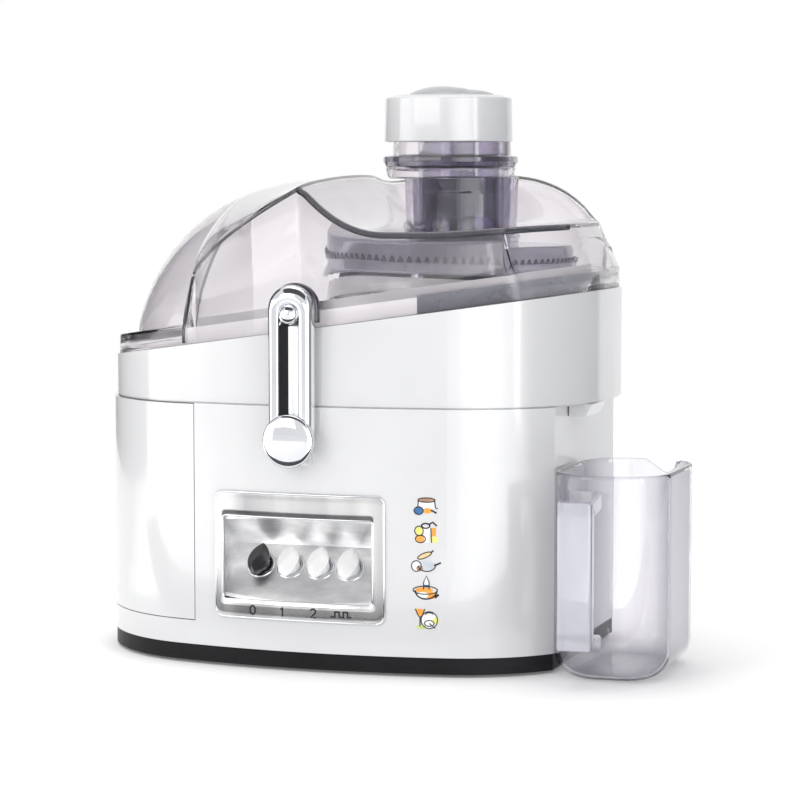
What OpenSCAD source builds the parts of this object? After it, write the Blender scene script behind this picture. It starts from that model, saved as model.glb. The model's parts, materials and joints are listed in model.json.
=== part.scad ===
// Centrifugal juicer: oval body, clear domed lid with a feed chute, pulp bin on the left,
// jug in a niche on the right, clamps at front and rear.
// Millimetres. +Z up, -Y is the front with the keys, +X points at the jug.
// Each sub-part is drawn about the centre of the oval body and moved to the frame by at_body().

/* [Body] */
// Length of the oval body
body_l = 293.8; // [292:0.1:296]
// Width of the oval body
body_w = 211.5; // [210:0.1:213]
// Radius of the long front and rear arcs of the oval
side_arc_r = 400; // [390:1:410]
// Radius of the arcs at the two ends of the oval
end_arc_r = 300; // [290:1:310]
// Radius of the four corner arcs of the oval
corner_r = 84; // [82:0.5:86]
// Wall of the moulded shells
wall = 2.5; // [2:0.1:3]
// Height of the top of the black base tray
base_top = 10.7; // [10:0.1:12]
// Height of the seam between the body and the collector ring
body_top = 145.7; // [144:0.1:147]
// X of the flat wall beside the jug
niche_x = 130; // [128:0.5:131]

/* [Lid] */
// Height of the lid seam at the middle of the body
seam_z = 188; // [187:0.5:189]
// Rise of the lid seam for each millimetre towards the jug
seam_slope = 0.14; // [0.12:0.01:0.15]
// Height of the flange round the foot of the lid
flange_h = 11; // [10:0.5:12]
// Height of the crown of the dome
crown_z = 270; // [266:1:272]
// Height of the flat deck round the feed chute
deck_z = 241; // [239:0.5:243]
// Wall of the clear lid
lid_t = 2.4; // [2:0.1:3]

/* [Feed chute and pusher] */
// X of the axis of the feed chute
chute_x = 56.4; // [55:0.1:58]
// Outer radius of the feed chute
chute_r = 29.3; // [28.5:0.1:30]
// Inner radius of the feed chute
chute_bore_r = 26; // [25:0.1:26.5]
// Height of the lower end of the chute
chute_foot_z = 186; // [184:1:190]
// Height of the top of the chute mouth
mouth_z = 290.5; // [288:0.5:292]
// Outer radius of the pusher
pusher_r = 24.4; // [23:0.1:25]
// Height of the top of the pusher cap
cap_top_z = 316.3; // [312:0.1:318]
// Height of the top of the whole machine
top_z = 322.6; // [320:0.1:324]

/* [Basket and motor] */
// X of the axis of the motor and the basket
axis_x = 45; // [44:0.5:46]
// Inner radius of the collector bowl
bowl_r = 76.5; // [76:0.5:77.5]
// Radius of the basket rim
basket_r = 72; // [70:0.5:73]
// Radius of the grating disc
disc_r = 46; // [44:0.5:47]
// Radius of the motor shaft
shaft_r = 4; // [3.5:0.1:4.5]

/* [Pulp bin] */
// X of the seam between the pulp bin and the body
bin_x = -67.5; // [-69:0.5:-66]
// Height of the seam under the pulp bin
bin_z = 24.1; // [23:0.1:26]

/* [Keys and clamps] */
// Number of push keys
key_n = 4; // [4:4]
// Distance between neighbouring keys
key_pitch = 17.6; // [17.4:0.1:17.8]
// X of the first key
key_x0 = -32.4; // [-33:0.1:-32]
// Travel of a key
key_travel = 4; // [3:0.5:4]
// X of the centre line of the clamps
clamp_x = -5; // [-6:0.5:-4]
// Distance of the clamp pivots from the middle of the body
clamp_pivot_y = 113.5; // [113:0.1:114]
// Height of the clamp pivots
clamp_pivot_z = 118; // [117:0.5:119]

/* [Jug] */
// Width of the jug along X
jug_w = 63.5; // [62:0.5:64]
// Depth of the jug along Y
jug_d = 101; // [100:0.5:102]
// Height of the jug
jug_h = 112; // [110:0.5:113]
// Radius of the upright corners of the jug
jug_corner = 26; // [24:1:28]
// Radius of the bottom edge of the jug
jug_foot = 15; // [12:1:16]

/* [Hidden] */
$fn = 96;

// Middle of the oval body in the frame, so that the whole machine is centred on the origin
jug_x0 = niche_x + 1.4;
body_cx = -(jug_x0 + jug_w - body_l / 2) / 2;
module at_body() translate([body_cx, 0, 0]) children();
module at_axis(z = 0) at_body() translate([axis_x, 0, z]) children();

// Colours
white = "white";
black = [0.1, 0.1, 0.11];
smoke = [0.62, 0.58, 0.66, 0.5];
steel = [0.75, 0.76, 0.78];
chrome = [0.85, 0.86, 0.88];
copper = [0.75, 0.42, 0.22];

// --- the oval plan -------------------------------------------------------------------------
half_l = body_l / 2;
half_w = body_w / 2;
side_c = half_w - side_arc_r;
end_c = half_l - end_arc_r;
// The corner arc touches both the side arc and the end arc from inside
span = norm([end_c, -side_c]);
along = ((side_arc_r - corner_r) ^ 2 - (end_arc_r - corner_r) ^ 2 + span ^ 2) / (2 * span);
across = sqrt((side_arc_r - corner_r) ^ 2 - along ^ 2);
corner_x = along * end_c / span + across * -side_c / span;
corner_y = side_c + along * -side_c / span - across * end_c / span;
function touch_x(inset) = corner_x * (side_arc_r - inset) / (side_arc_r - corner_r);
function touch_y(inset) = corner_y * (end_arc_r - inset) / (end_arc_r - corner_r);

// Oval of true arcs, moved inwards by inset
module oval(inset = 0) {
    for (sx = [-1, 1], sy = [-1, 1])
        translate([sx * corner_x, sy * corner_y]) circle(corner_r - inset, $fn = 180);
    intersection() {
        oval_lens(inset);
        square([2 * touch_x(inset), 2 * half_w], center = true);
    }
    intersection() {
        oval_lens(inset);
        square([2 * half_l, 2 * touch_y(inset)], center = true);
    }
}
module oval_lens(inset) {
    intersection() {
        translate([0, side_c]) circle(side_arc_r - inset, $fn = 360);
        translate([0, -side_c]) circle(side_arc_r - inset, $fn = 360);
        translate([end_c, 0]) circle(end_arc_r - inset, $fn = 360);
        translate([-end_c, 0]) circle(end_arc_r - inset, $fn = 360);
    }
}
module slab(z0, z1, inset = 0) translate([0, 0, z0]) linear_extrude(z1 - z0) oval(inset);
// Everything between two X planes
module between_x(x0, x1) translate([x0, -200, -10]) cube([x1 - x0, 400, 400]);
// Everything under the sloping seam, lifted by dz
module under_seam(dz = 0) {
    translate([0, 0, seam_z + dz]) rotate([0, -atan(seam_slope), 0])
        translate([-300, -200, -400]) cube([600, 400, 400]);
}
module tube(r_out, r_in, z0, z1) {
    translate([0, 0, z0]) linear_extrude(z1 - z0) difference() {
        circle(r_out);
        circle(r_in);
    }
}
module rod(r, z0, z1) translate([0, 0, z0]) cylinder(r = r, h = z1 - z0);

// --- base ----------------------------------------------------------------------------------
tray_z = 1.5;
tray_floor = 4;
tray_inset = 0.6;
foot_at = [[-105, -55], [-105, 55], [98, -62], [98, 62]];
screw_at = [[-50, -95], [-50, 95], [100, -82], [100, 82], [-120, -36], [-120, 36]];
screw_r = 1.8;
mount_dx = 50;
mount_top = 16;

module base_tray() {
    color(black) at_body() difference() {
        union() {
            difference() {
                slab(tray_z, base_top, tray_inset);
                difference() {
                    slab(tray_floor, base_top + 1, tray_inset + wall);
                    between_x(niche_x - wall - 1, 200);
                }
                between_x(niche_x - 0.6, 200);
            }
            for (p = screw_at) translate(p) rod(6, tray_floor, base_top);
            for (s = [-1, 1]) translate([axis_x + s * mount_dx, 0]) rod(7, tray_floor, mount_top);
        }
        for (p = screw_at) translate(p) {
            rod(screw_r + 0.2, 0, 20);
            rod(4, 0, tray_floor + 1);
        }
        for (p = foot_at) translate(p) rod(4, 0, 5);
        for (i = [-3:3]) translate([axis_x + 8 * i - 2, -24, 0]) cube([4, 48, 5]);
    }
}

module rubber_feet() {
    color("dimgray") at_body() for (p = foot_at) translate(p) {
        rod(9, 0, tray_z);
        rod(4, tray_z, tray_floor);
    }
}

module base_screws() {
    color(steel) at_body() for (p = screw_at) translate(p) {
        rod(3.6, tray_floor - 1.2, tray_floor + 1);
        rod(screw_r, tray_floor + 1, 19);
    }
}

// --- body shell ----------------------------------------------------------------------------
deck_under = body_top - wall;
column_r = 5.5;
drive_hole_r = 16;
finger_at = [-28, 84];
finger_r = 3;
gland_at = [70, 30];
gland_y = 98;
panel_x = [-54.3, 45.7];
panel_z = [27.6, 98.3];
window_x = [-49, 38.2];
window_z = [38.4, 84];
panel_r = 5;
ear_x = [5.6, 9.6];
ear_r = 3.6;
clamp_pin_r = 1.5;

// Rounded rectangle in the XZ plane, run through the front wall
module front_block(x, z, r, y0, y1) {
    translate([0, y1, 0]) rotate([90, 0, 0]) linear_extrude(y1 - y0) {
        for (cx = [x[0] + r, x[1] - r], cz = [z[0] + r, z[1] - r]) translate([cx, cz]) circle(r);
        translate([x[0] + r, z[0]]) square([x[1] - x[0] - 2 * r, z[1] - z[0]]);
        translate([x[0], z[0] + r]) square([x[1] - x[0], z[1] - z[0] - 2 * r]);
    }
}

// Places children at a clamp pivot, with local -Y pointing away from the body
module at_clamp(side) {
    at_body() translate([clamp_x, side * clamp_pivot_y, clamp_pivot_z])
        rotate([0, 0, side < 0 ? 0 : 180]) children();
}

// A pair of ears on each side of the body carries each clamp pivot pin
module clamp_ears() {
    color(white) difference() {
        for (side = [-1, 1], s = [-1, 1]) at_clamp(side)
            translate([s * (ear_x[0] + ear_x[1]) / 2, 0, 0]) rotate([90, 0, 90])
                translate([0, 0, -(ear_x[1] - ear_x[0]) / 2])
                    linear_extrude(ear_x[1] - ear_x[0]) {
                        circle(ear_r);
                        translate([0, -ear_r]) square([12, 2 * ear_r]);
                    }
        at_body() slab(0, 200);
        for (side = [-1, 1]) at_clamp(side)
            rotate([0, 90, 0]) rod(clamp_pin_r + 0.05, -12, 12);
    }
}

module motor_housing() {
    color(white) at_body() difference() {
        union() {
            difference() {
                slab(base_top, body_top);
                between_x(niche_x, 200);
                difference() {
                    slab(bin_z, body_top + 1, -5);
                    between_x(bin_x, 200);
                }
                housing_cavity();
            }
            for (p = screw_at) translate(p) rod(column_r, base_top, p.x < bin_x ? bin_z - 1 : 42);
            translate([axis_x, 0]) tube(drive_hole_r + wall, drive_hole_r, deck_under - 12, body_top);
        }
        for (p = screw_at) translate(p) rod(screw_r, base_top - 1, 20);
        translate([axis_x, 0]) rod(drive_hole_r, deck_under - 20, body_top + 1);
        translate(finger_at) rod(finger_r + 0.5, deck_under - 1, body_top + 1);
        difference() {
            front_block(panel_x, panel_z, panel_r, -120, -60);
            slab(0, body_top, panel_recess);
        }
        front_block([window_x[0] - 2, window_x[1] + 2], [window_z[0] - 2.5, window_z[1] + 2.5], 1,
            -120, -60);
        translate([gland_at.x, gland_y, gland_at.y]) rotate([-90, 0, 0]) rod(gland_r, -20, 20);
        for (i = [-6:5]) translate([i * 8, 60, 50]) cube([3.5, 60, 34]);
    }
}

module housing_cavity() {
    difference() {
        slab(base_top - 1, deck_under, wall);
        between_x(niche_x - wall, 200);
        difference() {
            slab(bin_z - wall, body_top, -5);
            between_x(bin_x + wall, 200);
        }
    }
}

gland_r = 8;
module cord_gland() {
    color(black) at_body() translate([gland_at.x, gland_y, gland_at.y]) rotate([-90, 0, 0])
        difference() {
            union() {
                rod(gland_r, -12, 4);
                rod(gland_r + 3, -15, -10);
            }
            rod(3.6, -20, 20);
        }
}

// --- control panel and keys ----------------------------------------------------------------
panel_proud = 0.9;
panel_recess = 0.9;
module control_panel() {
    color("silver") at_body() intersection() {
        difference() {
            front_block(panel_x, panel_z, panel_r, -120, -60);
            front_block(window_x, window_z, 1.5, -130, -50);
        }
        difference() {
            slab(0, body_top, -panel_proud);
            slab(-1, body_top + 1, panel_recess);
        }
    }
}

// Side profile of the wedge-shaped recess: lower lip, deepest point, upper lip (Y, Z)
lip_y = -104.6;
lip_low = [lip_y, window_z[0]];
deepest = [-78, 66];
lip_high = [lip_y, window_z[1]];
key_slope = atan2(deepest.y - lip_low.y, deepest.x - lip_low.x);
key_up = 4.2;
key_mid = (lip_low + deepest) / 2 + key_up * [cos(key_slope), sin(key_slope)];
key_w = 12;
key_l = 21.5;
key_stem_r = key_w / 2 - 0.5;
key_bore_r = key_stem_r + 0.35;
key_arc_r = (key_w ^ 2 + key_l ^ 2) / (4 * key_w);
cap_under = key_travel + 0.7;
cap_over = cap_under + 3.8;

// Places children at key i, with local +Z out of the sloping key face
module at_key(i) {
    at_body() translate([key_x0 + i * key_pitch, key_mid.x, key_mid.y])
        rotate([key_slope, 0, 0]) children();
}

// A prism along X with a (Y, Z) outline
module prism_x(x, outline) {
    translate([x[0], 0, 0]) rotate([90, 0, 90]) linear_extrude(x[1] - x[0]) polygon(outline);
}

module key_pocket() {
    color(chrome) difference() {
        at_body() intersection() {
            difference() {
                prism_x([window_x[0] - 1.5, window_x[1] + 1.5],
                    [lip_low + [0, -2], deepest + [2.4, 0.3], lip_high + [0, 2]]);
                prism_x(window_x,
                    [lip_low + [-5, 0], lip_low, deepest, lip_high, lip_high + [-5, 0]]);
            }
            slab(0, body_top, panel_recess + 0.1);
        }
        for (i = [0:key_n - 1]) at_key(i) rod(key_bore_r, -6, 6);
    }
}

module switch_bank() {
    mid = key_x0 + (key_n - 1) / 2 * key_pitch;
    color("darkslategray") difference() {
        at_key(0) translate([mid - key_x0, 0, -20]) translate([-37, -9, 0]) cube([74, 18, 13]);
        for (i = [0:key_n - 1]) at_key(i) rod(3.4, -18.5, -6);
    }
}

// A key: lens-shaped cap with a raised ridge, round stem and plunger
module key(i, shade) {
    color(shade) at_key(i) {
        translate([0, 0, cap_under]) linear_extrude(cap_over - cap_under) intersection() {
            translate([key_arc_r - key_w / 2, 0]) circle(key_arc_r);
            translate([key_w / 2 - key_arc_r, 0]) circle(key_arc_r);
        }
        rod(key_stem_r, -2, cap_under + 0.5);
        rod(3, -12, -2);
    }
}
module key_off() key(0, black);
module key_low() key(1, white);
module key_high() key(2, white);
module key_pulse() key(3, white);

module microswitch() {
    color(black) at_body() translate(finger_at) difference() {
        translate([-10, -4, 118]) cube([20, 8, 16]);
        for (s = [-1, 1]) translate([s * 6, 0, 122]) rotate([90, 0, 0]) rod(1.2, -5, 5);
    }
}

// --- motor ---------------------------------------------------------------------------------
bracket_z = 22;
core_z = [50, 96];
top_bracket_z = 120;
bolt_dx = 38;
core_r = 42;
coil_w = 41;
coil_band = 7.8;
coil_over = 6;

// A flat bar with a bearing cup, as seen from below
module bracket(z, cup_z0, cup_z1, bearing_r) {
    difference() {
        union() {
            translate([0, 0, z]) linear_extrude(3) {
                square([2 * bolt_dx + 12, 18], center = true);
                for (s = [-1, 1]) translate([s * (mount_dx - 2), 0]) circle(9);
                circle(bearing_r + 4);
            }
            tube(bearing_r + 2, bearing_r, cup_z0, cup_z1);
        }
        rod(bearing_r, cup_z0, cup_z1 + 1);
        rod(shaft_r + 2, z - 10, z + 20);
        for (s = [-1, 1]) translate([s * bolt_dx, 0]) rod(2.1, z - 1, z + 4);
    }
}
module lower_bracket() color(steel) at_axis() bracket(bracket_z, bracket_z + 1, 33, 11);
module upper_bracket() color(steel) at_axis() bracket(top_bracket_z, 112, 122, 11);
module motor_mounts() {
    color(black) at_axis() for (s = [-1, 1]) translate([s * mount_dx, 0])
        tube(7, 3, mount_top, bracket_z);
}
module motor_bolts() {
    color(steel) at_axis() for (s = [-1, 1]) translate([s * bolt_dx, 0]) {
        rod(2, bracket_z - 3, top_bracket_z + 6);
        rod(3.6, top_bracket_z + 3, top_bracket_z + 6);
        rod(3.6, bracket_z - 3, bracket_z);
    }
}
module stator_core() {
    color("slategray") at_axis(core_z[0]) linear_extrude(core_z[1] - core_z[0]) difference() {
        union() {
            difference() {
                circle(core_r);
                circle(core_r - 6);
            }
            for (s = [-1, 1]) translate([-12, s > 0 ? 20 : -38]) square([24, 18]);
        }
        circle(23.5);
        for (s = [-1, 1]) translate([s * bolt_dx, 0]) circle(2.1);
    }
}
module field_coils() {
    window = [coil_w - 2 * coil_band, core_z[1] - core_z[0] + 0.8];
    color(copper) at_axis() for (s = [-1, 1])
        translate([-coil_w / 2, s > 0 ? 24.5 : -29.5, core_z[0] - coil_over]) difference() {
            cube([coil_w, 5, core_z[1] - core_z[0] + 2 * coil_over]);
            translate([coil_band, -1, coil_over - 0.4]) cube([window.x, 7, window.y]);
        }
}
module brush_holders() {
    color("goldenrod") at_axis() for (s = [-1, 1]) rotate([0, 0, 90]) difference() {
        translate([s > 0 ? 13 : -24, -5, 36]) cube([11, 10, 9]);
        translate([s > 0 ? 12 : -25, -3.2, 37.5]) cube([13, 6.4, 6]);
    }
}
module carbon_brushes() {
    color(black) at_axis() for (s = [-1, 1]) rotate([0, 0, 90])
        translate([s > 0 ? 11.4 : -23.4, -3, 37.8]) cube([12, 6, 5.4]);
}
module bearing(z) {
    difference() {
        tube(11, shaft_r + 0.05, z, z + 7);
        for (dz = [-1, 6.4]) tube(9, 6.5, z + dz, z + dz + 1.6);
    }
}
module lower_bearing() color(chrome) at_axis() bearing(bracket_z + 3.5);
module upper_bearing() color(chrome) at_axis() bearing(112.5);
module shaft_seal() color(black) at_axis() tube(drive_hole_r, 8.5, 132, 136);

// --- rotor ---------------------------------------------------------------------------------
module motor_shaft() color(steel) at_axis() rod(shaft_r, bracket_z + 2, 150);
module armature() {
    color("slategray") at_axis(core_z[0] - 2) linear_extrude(core_z[1] - core_z[0] + 4)
        difference() {
            circle(22.5);
            circle(shaft_r);
            for (i = [0:11]) rotate(30 * i) translate([19, -1.2]) square([6, 2.4]);
        }
}
module commutator() {
    color(copper) at_axis(35) linear_extrude(12) difference() {
        circle(11);
        circle(shaft_r);
        for (i = [0:23]) rotate(15 * i) translate([10, -0.4]) square([3, 0.8]);
    }
}
fan_z = 102.4;
fan_h = 9.2;
fan_r = 33;
module cooling_fan() {
    color(black) at_axis(fan_z) difference() {
        union() {
            rod(12, 0, fan_h);
            rod(fan_r, 0, 1.6);
            for (i = [0:11]) rotate([0, 0, 30 * i]) translate([8, -0.8, 0]) cube([fan_r - 8, 1.6, fan_h]);
        }
        rod(shaft_r, -1, fan_h + 1);
    }
}
rib_n = 6;
module drive_coupling() {
    color(black) at_axis() difference() {
        union() {
            rod(7.8, 128, 168);
            for (i = [0:rib_n - 1]) rotate([0, 0, 360 / rib_n * i])
                translate([0, -1.2, 154]) cube([9.6, 2.4, 14]);
        }
        rod(shaft_r, 127, 150);
    }
}

// --- collector ring ------------------------------------------------------------------------
ring_inset = 1.6;
ring_in = ring_inset + wall;
web_z = 178;
bowl_floor = 150;
spout_y = [-36, -8];
duct_z = 164;
duct_x = axis_x + bowl_r - 6;
seam_gap = 0.8;
seam_depth = 1.1;

// Outlet hole in the floor of the ring and the duct
module outlet_hole() {
    translate([niche_x + 2, spout_y[0] + wall, body_top - 1])
        cube([8, spout_y[1] - spout_y[0] - 2 * wall, 12]);
}

// Oval ring that carries the lid: outer wall, web round the bowl, divider, floor of the overhang
module juice_collector() {
    color(white) at_body() difference() {
        union() {
            intersection() {
                union() {
                    difference() {
                        slab(body_top, 230, ring_inset);
                        slab(body_top - 1, 231, ring_in);
                    }
                    difference() {
                        slab(web_z, web_z + wall, ring_in - 0.5);
                        between_x(-200, bin_x - 1);
                        translate([axis_x, 0]) rod(bowl_r, 0, 200);
                    }
                    intersection() {
                        slab(body_top, web_z + wall, ring_in - 0.5);
                        between_x(bin_x - 2, bin_x + wall - 2);
                    }
                }
                under_seam();
            }
            difference() {
                slab(body_top, body_top + wall, ring_in - 0.5);
                between_x(-200, niche_x - 2);
            }
            translate(finger_at) rod(finger_r, 136, web_z + 1);
            collector_lip();
        }
        difference() {
            slab(body_top - 1, body_top + seam_gap);
            slab(body_top - 2, body_top + seam_gap + 1, ring_inset + seam_depth);
        }
        outlet_hole();
    }
}

// Bowl under the basket, with the duct that takes the juice to the outlet
module collector_bowl() {
    color(white) at_body() difference() {
        union() {
            translate([axis_x, 0]) {
                tube(bowl_r + wall, bowl_r, bowl_floor, web_z);
                rod(bowl_r + 1, bowl_floor, bowl_floor + wall);
                tube(14.5, 12.5, bowl_floor, 163);
            }
            translate([duct_x, spout_y[0], body_top + wall])
                cube([niche_x + 10 - duct_x, spout_y[1] - spout_y[0], duct_z - body_top - wall]);
        }
        translate([axis_x, 0]) rod(12.5, 140, 170);
        translate([duct_x - 2, spout_y[0] + wall, bowl_floor + wall])
            cube([niche_x + 10 - duct_x, spout_y[1] - spout_y[0] - 2 * wall, 9]);
        outlet_hole();
    }
}

// Upstanding lip inside the foot of the lid, lower at the rear where the lid has a shelf
lip_in = 8.4;
lip_rise = [15, 7];
module collector_lip() {
    for (rear = [0, 1]) intersection() {
        difference() {
            slab(web_z, 240, lip_in);
            slab(web_z - 1, 241, lip_in + 2);
            between_x(-200, bin_x - 1);
        }
        under_seam(lip_rise[rear]);
        translate([-200, rear ? -20 : -220, 0]) cube([400, 200, 300]);
    }
}

// Small chute under the overhang: outline in the XZ plane, open at the bottom
module juice_spout() {
    color(white) at_body() difference() {
        translate([0, spout_y[1] + 2, 0]) rotate([90, 0, 0])
            linear_extrude(spout_y[1] - spout_y[0] + 4)
                polygon([[niche_x + 0.6, body_top], [niche_x + 0.6, body_top - 7],
                    [niche_x + 10, body_top - 7], [niche_x + 14, body_top]]);
        translate([niche_x + 2.2, spout_y[0], body_top - 8])
            cube([7, spout_y[1] - spout_y[0], 9]);
    }
}

// --- basket --------------------------------------------------------------------------------
disc_z = 172;
rim_z = [210, 216];
module basket_hub() {
    color(white) at_axis() difference() {
        union() {
            rod(disc_r + 2, disc_z - 4, disc_z);
            rod(24, 164.5, disc_z);
            tube(19, 16, 156, 166);
        }
        rod(8.3, 150, 168.6);
        for (i = [0:rib_n - 1]) rotate([0, 0, 360 / rib_n * i])
            translate([0, -1.7, 150]) cube([10.2, 3.4, 18.6]);
    }
}
module basket_mesh() {
    color(steel) at_axis() rotate_extrude() polygon([[disc_r + 1, disc_z], [disc_r + 2, disc_z],
        [basket_r - 1.2, rim_z[0]], [basket_r - 2.2, rim_z[0]]]);
}
module basket_rim() color(white) at_axis() tube(basket_r, basket_r - 4, rim_z[0], rim_z[1]);
module grating_disc() {
    color(steel) at_axis() difference() {
        rod(disc_r, disc_z, disc_z + 1.2);
        rod(6, disc_z - 1, disc_z + 2);
        for (ring = [0:3], i = [0:11]) rotate([0, 0, 30 * i + 12 * ring])
            translate([14 + 8 * ring, 0, 0]) rod(1.2, disc_z - 1, disc_z + 2);
    }
}
module basket_nut() {
    color(steel) at_axis() {
        rod(6, disc_z, disc_z + 2);
        rod(9, disc_z + 1.2, disc_z + 4);
    }
}

// --- lid -----------------------------------------------------------------------------------
lid_inset = 3.2;
shelf_l = 11;
shelf_r = 8;
hump_rise = 8.5;
lid_steps = 72;
lid_rings = [0, 0.06, 0.14, 0.24, 0.36, 0.5, 0.64, 0.76, 0.86, 0.93, 0.98, 1];

function clamp01(t) = min(1, max(0, t));
function smooth(t) = let(u = clamp01(t)) u * u * (3 - 2 * u);
function mix(a, b, t) = a + (b - a) * t;
// Half width of the oval at x, moved inwards by inset
function half_width(x, inset) = let(ax = abs(x))
    ax <= touch_x(inset) ? side_c + sqrt((side_arc_r - inset) ^ 2 - ax ^ 2)
    : ax >= half_l - inset ? 0
    : let(end = end_arc_r - inset, r = corner_r - inset,
          yc = abs(ax - corner_x) < r ? corner_y + sqrt(r ^ 2 - (ax - corner_x) ^ 2) : 0)
      yc >= touch_y(inset) ? yc : sqrt(max(0, end ^ 2 - (ax - end_c) ^ 2));
function flange_z(x) = seam_z + seam_slope * x + flange_h;
// Height of the dome along its middle line
dome_x = -12;
hump_x = 60;
function crown(x) =
    x < dome_x ? mix(flange_z(x), crown_z,
        (1 - clamp01((dome_x - x) / (dome_x + half_l - lid_inset - shelf_l)) ^ 2.2) ^ (1 / 2.2))
    : x < hump_x ? crown_z + hump_rise * sin(90 * clamp01((x - dome_x) / 50))
    : mix(flange_z(x), crown_z + hump_rise,
        (1 - clamp01((x - hump_x) / (half_l - lid_inset - shelf_r - hump_x)) ^ 2.5) ^ (1 / 2.5));
// Height of the top edge of the upright front wall
wing_x = -69;
wing_z = 216;
function wing(x) = x < wing_x ? mix(flange_z(x), wing_z, smooth((x - wing_x) / 7 + 1))
    : wing_z + 51 * clamp01((x - wing_x) / 68) ^ 0.73;
function deck(x) = deck_z + 4 * smooth((x - 60) / 80);
function shelf(x) = mix(shelf_l, shelf_r, smooth((x + 20) / 40));
function dome(x, y) = let(
        rim = max(0.001, half_width(x, lid_inset)),
        foot = max(0.001, half_width(x, lid_inset + shelf(x))),
        rounding = y > 0 ? 2.6 : 1.55,
        low = x < wing_x - 7 ? flange_z(x)
            : x < dome_x ? (y > 0 ? flange_z(x) : wing(x))
            : mix(wing(x), flange_z(x), smooth(y / 45)),
        reach = clamp01(abs(y) / (y > 0 || x < wing_x - 7 ? foot : rim)))
    mix(low, max(low, crown(x)), (1 - reach ^ rounding) ^ (1 / rounding));
function scoop(x, y) = smooth((50 - y) / 30) * (1 - (1 - clamp01((x + 5) / 50)) ^ 2.2);
// How far a point lies inside the edge of the oval
function depth(x, y) = let(ax = abs(x), ay = abs(y), dx = ax - corner_x, dy = ay - corner_y)
    corner_x * dy <= (corner_y - side_c) * dx && (corner_x - end_c) * dy >= corner_y * dx
        ? corner_r - norm([dx, dy])
        : min(side_arc_r - norm([ax, ay - side_c]), end_arc_r - norm([ax - end_c, ay]));
// The wall leans inwards at the right end
lean_x = 90;
lean_run = 25;
lean_free = 100;
lean = 2.4;
function lean_z(x, y) = flange_z(x) + lean_free * (1 - smooth((x - lean_x) / lean_run))
    + lean * max(0, depth(x, y) - lid_inset);
function lid_z(x, y) = let(z = dome(x, y)) min(lean_z(x, y), mix(z, min(z, deck(x)), scoop(x, y)));

// The shell of the lid is swept on rays from the feed chute to the rim
function ray_to_rim(a, inset, lo = 0, hi = 260, n = 24) = let(m = (lo + hi) / 2,
        p = [chute_x + m * cos(a), m * sin(a)])
    n == 0 ? p : abs(p.y) < half_width(p.x, inset) ? ray_to_rim(a, inset, m, hi, n - 1)
    : ray_to_rim(a, inset, lo, m, n - 1);
function lid_point(a, t, inset, drop) = let(
        rim = ray_to_rim(a, inset),
        hole = [chute_x, 0] + (chute_r + 0.02) * [cos(a), sin(a)],
        p = mix(hole, rim, t))
    [p.x, p.y, max(lid_z(p.x, p.y) - drop, flange_z(p.x) - drop)];
function lid_skin(inset, drop, foot) = [for (i = [0:lid_steps - 1]) let(a = 360 / lid_steps * i)
    concat([for (t = lid_rings) lid_point(a, t, inset, drop)],
        [let(rim = ray_to_rim(a, inset)) [rim.x, rim.y, flange_z(rim.x) - foot]])];

module lid_shell() {
    outer = lid_skin(lid_inset, 0, flange_h - 0.2);
    inner = lid_skin(lid_inset + lid_t, lid_t, flange_h - 0.2);
    n = len(outer[0]);
    loop = [for (i = [0:lid_steps - 1]) each concat(outer[i], [for (k = [1:n]) inner[i][n - k]])];
    m = 2 * n;
    polyhedron(loop, [for (i = [0:lid_steps - 1], k = [0:m - 1], half = [0, 1])
        let(j = (i + 1) % lid_steps, l = (k + 1) % m)
        half == 0 ? [i * m + k, i * m + l, j * m + l] : [i * m + k, j * m + l, j * m + k]]);
}

catch_z = [198, 202];
seal_inset = [6.6, 8.1];
module lid_dome() {
    color(smoke) at_body() {
        lid_shell();
        for (s = [-1, 1]) translate([clamp_x - 8, s < 0 ? -106.6 : 101.6, catch_z[0]])
            cube([16, 5, catch_z[1] - catch_z[0]]);
    }
}
module lid_seal() {
    color("gainsboro") at_body() intersection() {
        difference() {
            slab(150, 240, seal_inset[0]);
            slab(149, 241, seal_inset[1]);
        }
        difference() {
            under_seam(3);
            under_seam(0.3);
        }
    }
}
cover_z = [218.4, 234];
module basket_cover() {
    color(smoke) at_body() difference() {
        translate([axis_x, 0]) rod(bowl_r, cover_z[0], cover_z[1]);
        translate([axis_x, 0]) rod(bowl_r - 2, cover_z[0] - 1, cover_z[1] - 2);
        translate([chute_x, 0]) rod(chute_r, 200, 240);
    }
}

// Outline with round ends, wider along X by stretch on both sides, centred at x
stretch = 4;
module stadium(x, r) {
    for (s = [-1, 1]) translate([x + s * stretch, 0]) circle(r);
    translate([x - stretch, -r]) square([2 * stretch, 2 * r]);
}
// Heights of the collar, and the X centres of the collar, the mouth and the cap
collar_z = [270, 282.6];
collar_x = 49.7;
mouth_x = 50.5;
cap_x = 48.4;
collar_r = 35;
mouth_r = 29.5;
cap_r = 33;
module feed_chute() {
    color(smoke) at_body() difference() {
        union() {
            translate([chute_x, 0]) rod(chute_r, chute_foot_z, collar_z[0]);
            translate([chute_x, 0, collar_z[0] - 9]) cylinder(r1 = chute_r, r2 = 32, h = 9);
            translate([0, 0, collar_z[0]]) linear_extrude(collar_z[1] - collar_z[0])
                stadium(collar_x, collar_r);
            translate([0, 0, collar_z[1]]) linear_extrude(mouth_z - collar_z[1])
                stadium(mouth_x, mouth_r);
        }
        translate([chute_x, 0]) rod(chute_bore_r, chute_foot_z - 1, mouth_z + 1);
    }
}
module pusher_body() {
    color(smoke) at_body() translate([chute_x, 0]) difference() {
        rod(pusher_r, 192, mouth_z);
        rod(pusher_r - 2.2, 194.2, mouth_z + 1);
    }
}
module pusher_cap() {
    color(white) at_body() translate([0, 0, mouth_z]) linear_extrude(cap_top_z - mouth_z)
        stadium(cap_x, cap_r);
}
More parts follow.
